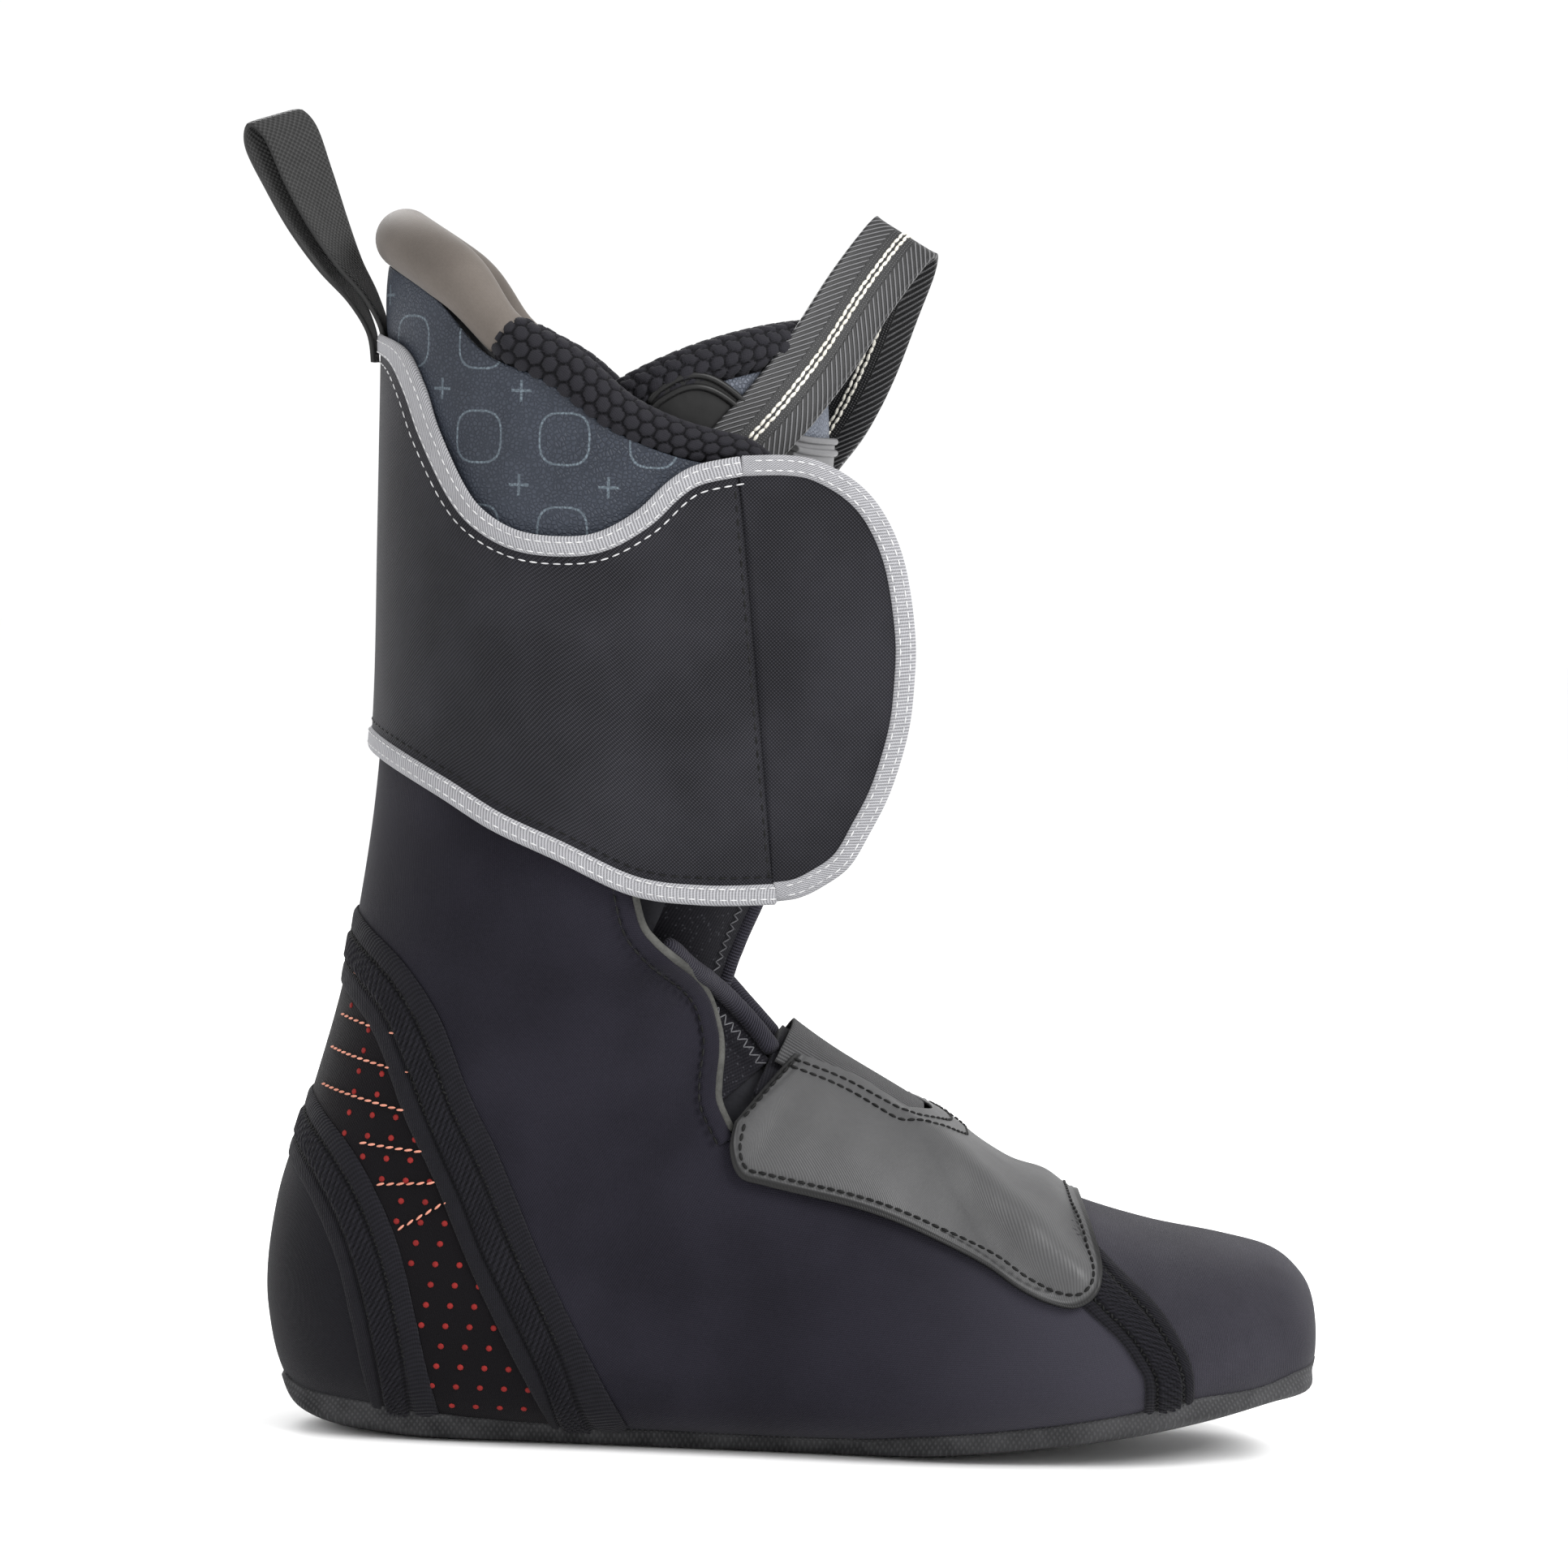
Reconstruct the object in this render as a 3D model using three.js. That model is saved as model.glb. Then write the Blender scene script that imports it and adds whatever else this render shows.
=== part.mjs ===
// The liner of an alpine ski boot: the padded inner boot that slides into the plastic shell.
// Millimetres. The toe points along +X, the wearer's left is +Y and the sole rests on Z = 0,
// with the origin in the middle of the sole's flat. It is a right boot, so its outer side is -Y.
import * as THREE from "three";

const { abs, acos, atan2, cos, hypot, max, min, PI, sign, sin } = Math;
const lerp = THREE.MathUtils.lerp;
const clamp = THREE.MathUtils.clamp;

// ---- Driving dimensions -------------------------------------------------------------------

const GAP = 0.6; // between one layer and the next
const SEAM = 0.5; // half the gap where two panels are sewn edge to edge
const SOLE = 2.6; // thickness of the sole under the foot
const WALL = 5.5; // neoprene and foam laminate round the foot
const SHAFT_WALL = 8.5; // foam wall round the shin
const TAPE = 0.8; // stretch tape bonded over a seam
const LINING = 0.9; // brushed inner lining
const BINDING = 7; // width of the grey woven edge binding
const CUFF_SHEET = 2; // ballistic cloth round the shaft
const ROLL = 5.4; // radius of the knitted roll on the collar
const PAD = 7.4; // radius of the smooth pad at the back of the collar
const STRAP = 1.5; // thickness of one layer of pull-loop webbing
const FOLD_REACH = 0.0016; // how quickly a flap curls towards the shin, per mm

// Stations of the outer skin, from the toe along the foot and up the shin. Each has its front (top)
// point, its back (bottom) point, its half width, its shift towards the big toe, and how square its
// front and back halves are (2 is an ellipse).
const STATIONS = [
  [135, 32, 135, 30, 0.4, 7, 2, 2],
  [134.4, 41, 134.6, 24, 17, 7, 2.1, 2.2],
  [131.5, 47.5, 131, 20, 29, 6.5, 2.2, 2.6],
  [124, 53.5, 121, 17.6, 37, 6, 2.3, 3.0],
  [110, 57, 105, 13.2, 43.5, 5, 2.3, 3.2],
  [90, 60.5, 84, 8.6, 48, 3.5, 2.3, 3.3],
  [68, 67, 60, 5, 50.5, 2, 2.3, 3.3],
  [46, 78, 33, SOLE, 49, 1, 2.3, 3.7],
  [24, 91.5, 4, SOLE, 45.5, 0, 2.3, 3.9],
  [4, 103, -28, SOLE, 42.5, -0.5, 2.3, 3.9],
  [-9, 112, -70, SOLE, 40, 0, 2.3, 3.8],
  [-15, 118, -108, SOLE, 38.5, 0, 2.3, 3.3],
  [-18, 122.5, -134, 9, 38.5, 0, 2.4, 2.6],
  [-19.5, 126, -143, 32, 39.5, 0, 2.5, 2.3],
  [-19.5, 130, -141.5, 60, 41, 0, 2.6, 2.2],
  [-15, 136, -133.5, 88, 42, 0, 2.8, 2.2],
  [-2, 144.5, -126, 117, 45, 0, 3.4, 2.2],
  [5, 160, -121.5, 144, 47.5, 0, 3.5, 2.2],
  [8, 180, -118.5, 170, 50, 0, 3.5, 2.2],
  [10, 205, -117, 199, 52, 0, 3.5, 2.2],
  [11, 235, -117, 235, 54, 0, 3.5, 2.2],
  [11, 265, -117.5, 270, 55.5, 0, 3.3, 2.2],
  [11, 295, -118.5, 305, 56, 0, 3.3, 2.2],
  [11, 325, -120, 340, 56, 0, 3.3, 2.2],
];

// Outlines on the outer side, seen from the side, as [x, z]. Each of the wrapping ones ends on the
// centre line, where it meets its own mirror image.
const SOLE_TOP = [[135.6, 29], [128, 25.5], [118, 21.8], [100, 19.6], [80, 14.6], [55, 10.6], [30, 7.6],
  [7, 5.6], [-43, 5.8], [-75, 7], [-95, 8.4], [-114, 10.6], [-132, 13], [-142, 17]];
const TOE_SEAM = [[94.5, 9], [94, 25], [90.5, 33], [85, 40.5], [77, 47.5], [70, 54], [65.5, 61], [63.5, 69.5]];
const HEEL_SEAM = [[-104, 4.6], [-108, 20], [-111.5, 35], [-115.5, 50], [-121, 62.5], [-127, 72], [-135.5, 80.5]];
const ANKLE_SEAM = [[-53, 3.4], [-63, 22], [-70.5, 36], [-79, 53], [-88.5, 75], [-97, 92], [-104.5, 110],
  [-113, 121.5], [-123.5, 130]];
const THROAT = [[-22.5, 87], [-25.5, 92.5], [-26, 98], [-25.5, 105.5], [-26, 111], [-28.5, 119], [-32.5, 125],
  [-38, 130], [-43, 134.5], [-47, 140]];
const OVERLAY_EDGE = [[-20.8, 87.6], [-21.7, 80.7], [-19, 74.3], [-12, 72.2], [8.4, 68], [21.4, 64.2], [34.3, 59],
  [46.1, 53.5], [54.7, 48.2], [62.7, 44.8], [69.2, 43.9], [74, 47], [75.2, 52.5], [73.5, 59], [71, 65], [68.8, 69]];
const SLOT_EDGE = [[-6.5, 103.6], [2, 99], [12, 93.5], [20, 87.5], [26, 84.8], [31.5, 85.2]];
const CUFF_BOTTOM = [[-13, 145], [-31, 144.2], [-49.5, 146.3], [-69.5, 155.6], [-85, 162.6], [-99, 171], [-118.5, 181]];
const CUFF_TOP = [[-25.4, 261.5], [-36, 258.8], [-43, 254.3], [-50.5, 246.8], [-60, 241.1], [-69, 239.7], [-79.4, 240.7],
  [-87.7, 245], [-93.3, 251.5], [-100.5, 265.6], [-104.7, 276.5], [-110.4, 286.5], [-119, 291]];
const RIM = [[-25, 261.5], [-41, 264.5], [-56, 270.5], [-71, 281.5], [-87, 290], [-101, 304], [-119, 315]];
const WALL_FRONT = [[-47, 152], [-40, 180], [-31, 218], [-25, 252]];

// The folds where the flaps leave the cuff, and the free edge of each flap beyond its fold.
const FOLD_LOW = [-12.6, 147];
const FOLD_HIGH = [-24.8, 257.5];
const OUTER_FLAP = [[-24.3, 261.5], [-12, 262], [-3, 260.3], [7, 254.5], [14, 246], [19, 234], [22, 217], [22.2, 204],
  [21, 191], [17, 176], [12, 165], [7, 156], [-1, 149.4], [-12, 145.2]];
const INNER_FLAP = [[-23, 247], [-14, 246.5], [-6, 243], [2, 235], [7, 222], [9, 206], [8, 190], [5, 175],
  [0, 163], [-5, 155], [-12.5, 150]];

// The tongue: its front line up the shin, its half width and its depth at the same heights.
const TONGUE = [
  [112, -28, 19, 24],
  [122, -23.5, 24, 28],
  [131, -20.4, 27, 30],
  [144, -15, 31, 34],
  [165, -9.6, 35, 38],
  [200, -5, 39.5, 42],
  [235, -2.6, 42, 44],
  [265, -1.6, 42.5, 45],
  [300, -3.5, 42.5, 45],
];
const TONGUE_SPREAD = 1.75; // half the angle that the tongue wraps round the shin, in radians
const TONGUE_FOAM = 8;

// ---- Colours and finishes -----------------------------------------------------------------

const finish = (color, roughness, metalness = 0) => new THREE.MeshStandardMaterial({ color, roughness, metalness });
const NEOPRENE = finish(0x23232b, 0.9);
const TOE_CLOTH = finish(0x32323c, 0.9);
const HEEL_CLOTH = finish(0x1c1d20, 0.9);
const SEAM_TAPE = finish(0x17181c, 0.85);
const SOLE_RUBBER = finish(0x3d3e3e, 0.85);
const COATED_CLOTH = finish(0x4a4b4b, 0.6);
const BALLISTIC = finish(0x26262a, 0.8);
const GREY_BINDING = finish(0x77777b, 0.85);
const BLUE_LEATHER = finish(0x2f3a45, 0.6);
const TAUPE_STRETCH = finish(0x857c74, 0.8);
const KNIT = finish(0x17171b, 0.95);
const WEBBING = finish(0x1b1b1c, 0.8);
const FOAM = finish(0x3a3a3e, 0.95);
const BRUSHED = finish(0x202024, 1);
const STRETCH = finish(0x1d1d23, 0.9);
const SHIELD = finish(0x5c5e60, 0.45);

// ---- The skin: a point for a station, an angle round it and a height off it ----------------

const LAST = STATIONS.length - 1;

// A smooth curve through whole rows of numbers.
function rowAt(rows, place) {
  const i = min(max(Math.floor(place), 0), rows.length - 2);
  const f = place - i;
  const a = rows[max(i - 1, 0)];
  const b = rows[i];
  const c = rows[i + 1];
  const d = rows[min(i + 2, rows.length - 1)];
  return b.map((p, k) => {
    const bend = 2 * a[k] - 5 * p + 4 * c[k] - d[k];
    const twist = 3 * (p - c[k]) + d[k] - a[k];
    return p + (f / 2) * (c[k] - a[k] + f * (bend + f * twist));
  });
}

// Angle 0 is the front or top line, PI is the back or bottom line, and the outer side lies between.
function surface(place, angle) {
  const [frontX, frontZ, backX, backZ, half, shift, squareFront, squareBack] = rowAt(STATIONS, place);
  const square = cos(angle) > 0 ? squareFront : squareBack;
  const reach = (abs(cos(angle)) ** square + abs(sin(angle)) ** square) ** (-1 / square);
  const along = (1 - cos(angle) * reach) / 2;
  return new THREE.Vector3(
    lerp(frontX, backX, along),
    shift - half * sin(angle) * reach,
    lerp(frontZ, backZ, along),
  );
}

function skin(place, angle, lift = 0) {
  const step = 0.02;
  const p = clamp(place, 0, LAST);
  const here = surface(p, angle);
  if (p < step) return here.add(new THREE.Vector3(lift, 0, 0));
  const up = surface(min(p + step, LAST), angle).sub(surface(p - step, angle));
  const round = surface(p, angle + step).sub(surface(p, angle - step));
  return here.addScaledVector(round.cross(up).normalize(), -lift);
}

// The station and angle of a point that is seen from the outer side.
function locate(x, z) {
  let low = 0;
  let high = LAST;
  for (let i = 0; i < 40; i++) {
    const middle = (low + high) / 2;
    const [frontX, frontZ, backX, backZ] = rowAt(STATIONS, middle);
    const turn = (backX - frontX) * (z - frontZ) - (backZ - frontZ) * (x - frontX);
    if (turn < 0) low = middle;
    else high = middle;
  }
  const [frontX, frontZ, backX, backZ, , , squareFront, squareBack] = rowAt(STATIONS, low);
  const dx = backX - frontX;
  const dz = backZ - frontZ;
  const across = clamp(2 * (((x - frontX) * dx + (z - frontZ) * dz) / (dx * dx + dz * dz)) - 1, -1, 1);
  const square = across < 0 ? squareFront : squareBack;
  return [low, atan2((1 - abs(across) ** square) ** (1 / square), -across)];
}

const other = ([place, angle]) => [place, 2 * PI - angle];

const flat = (points) => new THREE.CatmullRomCurve3(points.map(([x, z]) => new THREE.Vector3(x, 0, z)));

// An outline as a function of 0 to 1, evenly spaced over the skin. It stops at the centre line.
function trace(points) {
  const samples = 400;
  const places = [];
  const lengths = [0];
  for (const p of flat(points).getPoints(samples)) {
    const i = places.push(locate(p.x, p.z)) - 1;
    if (i) lengths.push(lengths[i - 1] + skin(...places[i]).distanceTo(skin(...places[i - 1])));
    if (i > samples / 3 && (places[i][1] === 0 || places[i][1] === PI)) break;
  }
  const last = places.length - 1;
  return (t) => {
    const target = clamp(t, 0, 1) * lengths[last];
    const i = clamp(lengths.findIndex((l) => l >= target), 1, last);
    const f = (target - lengths[i - 1]) / max(lengths[i] - lengths[i - 1], 1e-9);
    return places[i].map((q, k) => lerp(places[i - 1][k], q, f));
  };
}

// An outline run on past its last point to the centre line, and then over the inner side.
function wrapped(points) {
  const [[x0, z0], [x, z]] = points.slice(-2);
  const on = 14 / hypot(x - x0, z - z0);
  const edge = trace([...points, [x + (x - x0) * on, z + (z - z0) * on]]);
  return (t) => (t < 0.5 ? edge(2 * t) : other(edge(2 - 2 * t)));
}

// The same outline moved sideways by a distance, to the left of the way it runs.
function aside(points, distance) {
  const curve = flat(points);
  return points.map(([x, z], i) => {
    const way = curve.getTangent(i / (points.length - 1));
    return [x - way.z * distance, z + way.x * distance];
  });
}

// ---- Pieces ---------------------------------------------------------------------------------

const boot = new THREE.Group();

function add(name, geometry, material) {
  const mesh = new THREE.Mesh(geometry, material);
  mesh.name = name;
  boot.add(mesh);
  return mesh;
}

// Moves every corner of a geometry and turns its faces outwards again if that turned it inside out.
function bend(geometry, move) {
  const at = geometry.getAttribute("position");
  const corner = new THREE.Vector3();
  for (let i = 0; i < at.count; i++) {
    const p = move(corner.fromBufferAttribute(at, i), i);
    at.setXYZ(i, p.x, p.y, p.z);
  }
  const index = geometry.index.array;
  const [a, b, c] = [new THREE.Vector3(), new THREE.Vector3(), new THREE.Vector3()];
  let volume = 0;
  for (let i = 0; i < index.length; i += 3) {
    [a, b, c].forEach((v, k) => v.fromBufferAttribute(at, index[i + k]));
    volume += a.dot(b.cross(c));
  }
  if (volume < 0) {
    for (let i = 0; i < index.length; i += 3) [index[i], index[i + 1]] = [index[i + 1], index[i]];
  }
  return geometry;
}

// A slab in which t runs along, s across and r through, each from 0 to 1, and move places them.
const slab = (along, across, move) =>
  bend(new THREE.BoxGeometry(1, 1, 1, along, across, 1), (p) => move(p.x + 0.5, p.y + 0.5, p.z + 0.5));

// A panel on the skin between two edges, from one height off it to another.
function panel(name, material, near, far, lifts, [along, across]) {
  return add(name, slab(along, across, (t, s, r) => {
    const [a, b] = [near(t), far(t)];
    return skin(lerp(a[0], b[0], s), lerp(a[1], b[1], s), lerp(lifts[0], lifts[1], r));
  }), material);
}

// A panel whose four edges are all given: low and high run along it, first and last close its ends.
function patch(name, material, [low, high, first, last], lifts, [along, across]) {
  const straight = (t, s) => low(t).map((q, k) => lerp(q, high(t)[k], s));
  return add(name, slab(along, across, (t, s, r) => {
    const [begin, end] = [straight(0, s), straight(1, s)];
    const place = straight(t, s).map((q, k) => q + (first(s)[k] - begin[k]) * (1 - t) ** 4 + (last(s)[k] - end[k]) * t ** 4);
    return skin(place[0], place[1], lerp(lifts[0], lifts[1], r));
  }), material);
}

// The same panel on the outer and the inner side.
const flipped = (edge) => (t) => other(edge(t));
function pair(name, material, edges, lifts, steps) {
  const make = edges.length > 2 ? patch : (n, m, e, l, k) => panel(n, m, ...e, l, k);
  make("outer_" + name, material, edges, lifts, steps);
  make("inner_" + name, material, edges.map(flipped), lifts, steps);
}

// A round bead along a line of points.
function bead(name, material, points, radius, steps, sides = 10, squash = 1) {
  const section = new THREE.Shape();
  section.absellipse(0, 0, radius, radius * squash, 0, 2 * PI);
  const tube = new THREE.ExtrudeGeometry(new THREE.Shape(section.getPoints(sides).slice(0, sides)), {
    extrudePath: new THREE.CatmullRomCurve3(points),
    steps,
    bevelEnabled: false,
  });
  return add(name, tube, material);
}

// A band of webbing along a line of points: its width lies along the way it is given at each point.
function band(name, material, points, widthWay, width, thickness, steps) {
  const line = new THREE.CatmullRomCurve3(points);
  return add(name, slab(steps, 1, (t, s, r) => {
    const across = widthWay(t).normalize();
    const out = line.getTangentAt(t).cross(across).normalize();
    return line.getPointAt(t).addScaledVector(across, (s - 0.5) * width).addScaledVector(out, (r - 0.5) * thickness);
  }), material);
}

// ---- The foot -------------------------------------------------------------------------------

// The sole is a shallow cup, and its under side is worn flat.
function soleCup() {
  const soleTop = trace(SOLE_TOP);
  add("sole", slab(38, 12, (t, s, r) => {
    const [place, edge] = soleTop(t);
    const p = skin(place, lerp(edge, 2 * PI - edge, s), lerp(GAP, SOLE + 0.9, r));
    if (r > 0.5) p.z = max(p.z, rowAt(STATIONS, min(place, 11))[3] - SOLE, 0);
    return p;
  }), SOLE_RUBBER);
}
soleCup();

// A sheet over the bottom of the foot, between two depths inside the skin.
function underfoot(name, material, [toe, heel], spread, lifts) {
  add(name, slab(14, 5, (t, s, r) => {
    const reach = spread * (1 - abs(2 * t - 1) ** 5 * 0.5);
    return skin(lerp(toe, heel, t), PI + (1 - 2 * s) * reach, lerp(lifts[0], lifts[1], r));
  }), material);
}
underfoot("lasting_board", FOAM, [4.3, 11.4], 0.55, [-WALL - 3.1, -WALL - 1.7]);
underfoot("footbed", BRUSHED, [4.2, 11.2], 0.7, [-WALL - 9.4, -WALL - 6.4]);

// The dome over the toes: its outer face from the tip back to the seam, then its inner face back.
function toeBox() {
  const rings = 8;
  const profile = [...Array(2 * rings)].map((_, j) => new THREE.Vector2(j === 0 || j === 2 * rings - 1 ? 0 : 1, j));
  const round = 24;
  const seamOver = wrapped(aside(TOE_SEAM, -SEAM));
  const seamUnder = 3.95; // the station where the dome ends under the foot
  const edge = (angle) => {
    let best = [seamUnder, PI];
    for (let i = 0; i <= 200; i++) {
      const p = seamOver(i / 200);
      if (abs(p[1] - angle) < abs(best[1] - angle)) best = p;
    }
    return abs(angle - PI) < abs(best[1] - angle) ? seamUnder : best[0];
  };
  const ends = [...Array(round)].map((_, i) => edge((2 * PI * i) / round));
  add("toe_box", bend(new THREE.LatheGeometry(profile, round), (p, k) => {
    const i = Math.floor(k / profile.length) % round;
    const j = k % profile.length;
    const inside = j >= rings;
    const share = (inside ? 2 * rings - 1 - j : j) / (rings - 1);
    return skin(ends[i] * share, share ? (2 * PI * i) / round : 0, inside ? -WALL + 1 : 0);
  }), TOE_CLOTH);
}
toeBox();

panel("heel_counter", HEEL_CLOTH, wrapped([[-104, 4.9], [-120, 6.5], [-133, 10.5], [-142, 17]]),
  wrapped(aside(HEEL_SEAM, SEAM)), [-WALL, 0], [20, 5]);
panel("perforated_heel_panel", HEEL_CLOTH, wrapped(aside(HEEL_SEAM, -SEAM)),
  wrapped(aside(ANKLE_SEAM, SEAM)), [-WALL, 0], [28, 3]);

// The side panels end in a level line below the ankle bones, where the ankle wrap takes over.
const ankleBack = aside(ANKLE_SEAM, -SEAM - 0.8);
pair("quarter", NEOPRENE, [
  trace([[-52, 3.2], [-20, 3.2], [30, 4.6], [60, 7], [91, 10.5]]),
  trace([[-93.5, 86], [-78, 86], [-58, 86], [-38, 86], [-24, 84.5], [-6, 84], [14, 80], [34, 71.5], [52, 62], [64, 56], [72.5, 48.5]]),
  trace([[-52, 3.2], ...ankleBack.slice(1, 5), [-93.5, 86]]),
  trace([[91, 10.5], ...aside(TOE_SEAM, SEAM + 0.8).slice(1, 5), [72.5, 48.5]]),
], [-WALL, 0], [20, 6]);

const throatBack = [[-26.5, 88.4], ...aside(THROAT, 1).slice(1), [-50, 148.8]];
const ankleLow = wrapped([[-26.5, 88.4], [-55, 88.4], [-80, 88.4], [-93.5, 88.6], ...ankleBack.slice(5)]);
const ankleFront = trace(throatBack);
patch("ankle_wrap", NEOPRENE,
  [ankleLow, wrapped([[-50, 148.8], [-72, 149.6], [-96, 151.4], [-121, 153.6]]), ankleFront, flipped(ankleFront)],
  [-WALL, 0], [30, 4]);

// Stretch tapes over the seams.
const tape = (name, points, before, after, steps) =>
  panel(name, SEAM_TAPE, wrapped(aside(points, before)), wrapped(aside(points, -after)), [GAP + 0.3, GAP + 0.3 + TAPE], steps);
tape("heel_seam_tape", HEEL_SEAM.slice(1), 8, 7, [26, 2]);
tape("ankle_seam_tape", ANKLE_SEAM.slice(1), 9, 9, [36, 2]);
tape("toe_seam_tape", TOE_SEAM.slice(1), 6.5, 6, [26, 2]);

// Pads between the wall and the lining: one below each ankle bone and one behind the heel.
pair("ankle_pad", FOAM, [trace([[-108, 62], [-90, 52], [-70, 50], [-52, 58]]),
  trace([[-102, 80], [-88, 72], [-70, 70], [-56, 76]])], [-WALL - 3, -WALL - 0.4], [8, 2]);
panel("heel_pad", FOAM, wrapped([[-118, 34], [-128, 33], [-143, 33]]),
  wrapped([[-118, 58], [-126, 62], [-142, 64]]), [-WALL - 3, -WALL - 0.4], [10, 3]);

// The lining of the foot, open along the throat.
function footLining() {
  add("foot_lining", slab(12, 14, (t, s, r) => {
    const place = lerp(3.6, 14.6, t);
    const top = lerp(0.55, 1.15, t);
    const angle = lerp(top, 2 * PI - top, s);
    return skin(place, angle, -WALL - 4.2 - LINING * (1 - r));
  }), BRUSHED);
}
footLining();

// ---- The instep -----------------------------------------------------------------------------

panel("instep_overlay", COATED_CLOTH, wrapped(SLOT_EDGE), wrapped(OVERLAY_EDGE),
  [2 * GAP + TAPE + 0.4, 2 * GAP + TAPE + 1.6], [40, 7]);

// Ribbed elastic across the slot of the overlay.
const elasticSide = trace([[-8.5, 101.5], [5, 95], [16, 90], [26, 85.5], [32, 82.5]]);
panel("instep_elastic", STRETCH, elasticSide, (t) => other(elasticSide(t)).map((q, k) => (k ? q - 2 * PI : q)),
  [0.2, 1.2], [8, 10]);

// The end of the tongue that is sewn in under the overlay.
function tongueRoot() {
  add("tongue_root", slab(10, 8, (t, s, r) => {
    const angle = (s - 0.5) * lerp(1.7, 1.35, t);
    return skin(lerp(6.2, 9.6, t), angle, lerp(-7.5, -1.4, r));
  }), FOAM);
}
tongueRoot();

// Stretch wings from the throat to the tongue, each with a ribbed free edge.
const WING_FREE = [[-39, 134.4], [-35, 131.2], [-27.5, 125.8], [-21.3, 120.4], [-15, 114], [-9, 107]];
const wingRoot = trace(aside(THROAT, -1.6).slice(1, -1).reverse());
pair("wing", STRETCH, [wingRoot, trace(aside(WING_FREE, -3.6))], [-2.6, -1.4], [10, 3]);
pair("wing_edge", STRETCH, [trace(aside(WING_FREE, -3)), trace(WING_FREE)], [-2.8, -0.8], [10, 1]);
pair("throat_piping", NEOPRENE, [trace(aside(THROAT.slice(1, -1), -0.4)), trace(aside(THROAT.slice(1, -1), 3))],
  [2 * GAP + 0.4, 2 * GAP + 1.6], [14, 1]);

// ---- The shaft and its cuff -----------------------------------------------------------------

const wallFront = trace(WALL_FRONT);
const wallLow = wrapped([[-47, 152], [-70, 153.5], [-95, 156], [-121, 158.5]]);

const underRim = (gap) => wrapped(aside(RIM, 1).map((p, i) => {
  const depth = (i < 4 ? ROLL : PAD) + gap;
  const [x, z] = RIM[i];
  return [x + (p[0] - x) * depth, z + (p[1] - z) * depth];
}));
const shaftEdges = [wallLow, underRim(0.9), wallFront, flipped(wallFront)];
patch("shaft_foam", FOAM, shaftEdges, [-SHAFT_WALL, -GAP - 0.7], [26, 8]);
patch("shaft_lining", BRUSHED, shaftEdges, [-SHAFT_WALL - GAP - LINING, -SHAFT_WALL - GAP], [24, 6]);
panel("collar_facing", BLUE_LEATHER, wrapped(aside(CUFF_TOP.slice(1), 5)), underRim(0.5), [-0.6, 0], [28, 3]);

const foldAt = (s) => [lerp(FOLD_LOW[0], FOLD_HIGH[0], s), lerp(FOLD_LOW[1], FOLD_HIGH[1], s)];
const CUFF_LIFT = [GAP, GAP + CUFF_SHEET];
const BINDING_LIFT = [GAP - 0.2, GAP + CUFF_SHEET + 0.7];
const back = ([x, z]) => [x - 1.2, z];
const cuffFront = trace([0.07, 0.3, 0.5, 0.7, 0.93].map((s) => {
  const [x, z] = foldAt(s);
  return [x - SEAM - 0.6, z];
}));
patch("cuff_sheet", BALLISTIC, [wrapped(aside(CUFF_BOTTOM, -BINDING - SEAM).map(back)),
  wrapped(aside(CUFF_TOP, BINDING + SEAM).map(back)), cuffFront, flipped(cuffFront)], CUFF_LIFT, [36, 6]);
panel("cuff_bottom_binding", GREY_BINDING, wrapped(CUFF_BOTTOM.map(back)),
  wrapped(aside(CUFF_BOTTOM, -BINDING).map(back)), BINDING_LIFT, [36, 1]);
panel("cuff_top_binding", GREY_BINDING, wrapped(aside(CUFF_TOP, BINDING).map(back)),
  wrapped(CUFF_TOP.map(back)), BINDING_LIFT, [44, 1]);

// The rolls and the pad that cap the wall.
const rim = trace(RIM);
const onRim = (t, side = 1) => {
  const [place, angle] = side > 0 ? rim(t) : other(rim(t));
  return skin(place, angle, -SHAFT_WALL / 2);
};
const steps = (from, to, count) => [...Array(count + 1)].map((_, i) => lerp(from, to, i / count));
const ROLL_END = 0.56; // share of the way from the front of the rim to its back where the roll meets the pad
bead("outer_collar_roll", KNIT, steps(0.02, ROLL_END, 8).map((t) => onRim(t)), ROLL, 16);
bead("inner_collar_roll", KNIT, steps(0.02, ROLL_END, 8).map((t) => onRim(t, -1)), ROLL, 16);
bead("rear_collar_pad", TAUPE_STRETCH,
  steps(ROLL_END + 0.02, 2 - ROLL_END - 0.02, 14).map((t) => onRim(t < 1 ? t : 2 - t, t < 1 ? 1 : -1)), PAD, 24, 12);

// ---- The flaps ------------------------------------------------------------------------------

// A flap carries on from its fold, nearly flat, and curls a little towards the shin.
function flapPoint(x, z, side, lift) {
  const s = (z - FOLD_LOW[1]) / (FOLD_HIGH[1] - FOLD_LOW[1]);
  const [foldX, foldZ] = foldAt(s);
  const root = skin(...locate(foldX, foldZ));
  const beyond = max(x - foldX, 0);
  const inward = beyond * (0.03 + FOLD_REACH * beyond);
  return new THREE.Vector3(x, side * (abs(root.y) - inward + lift), z);
}

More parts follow.
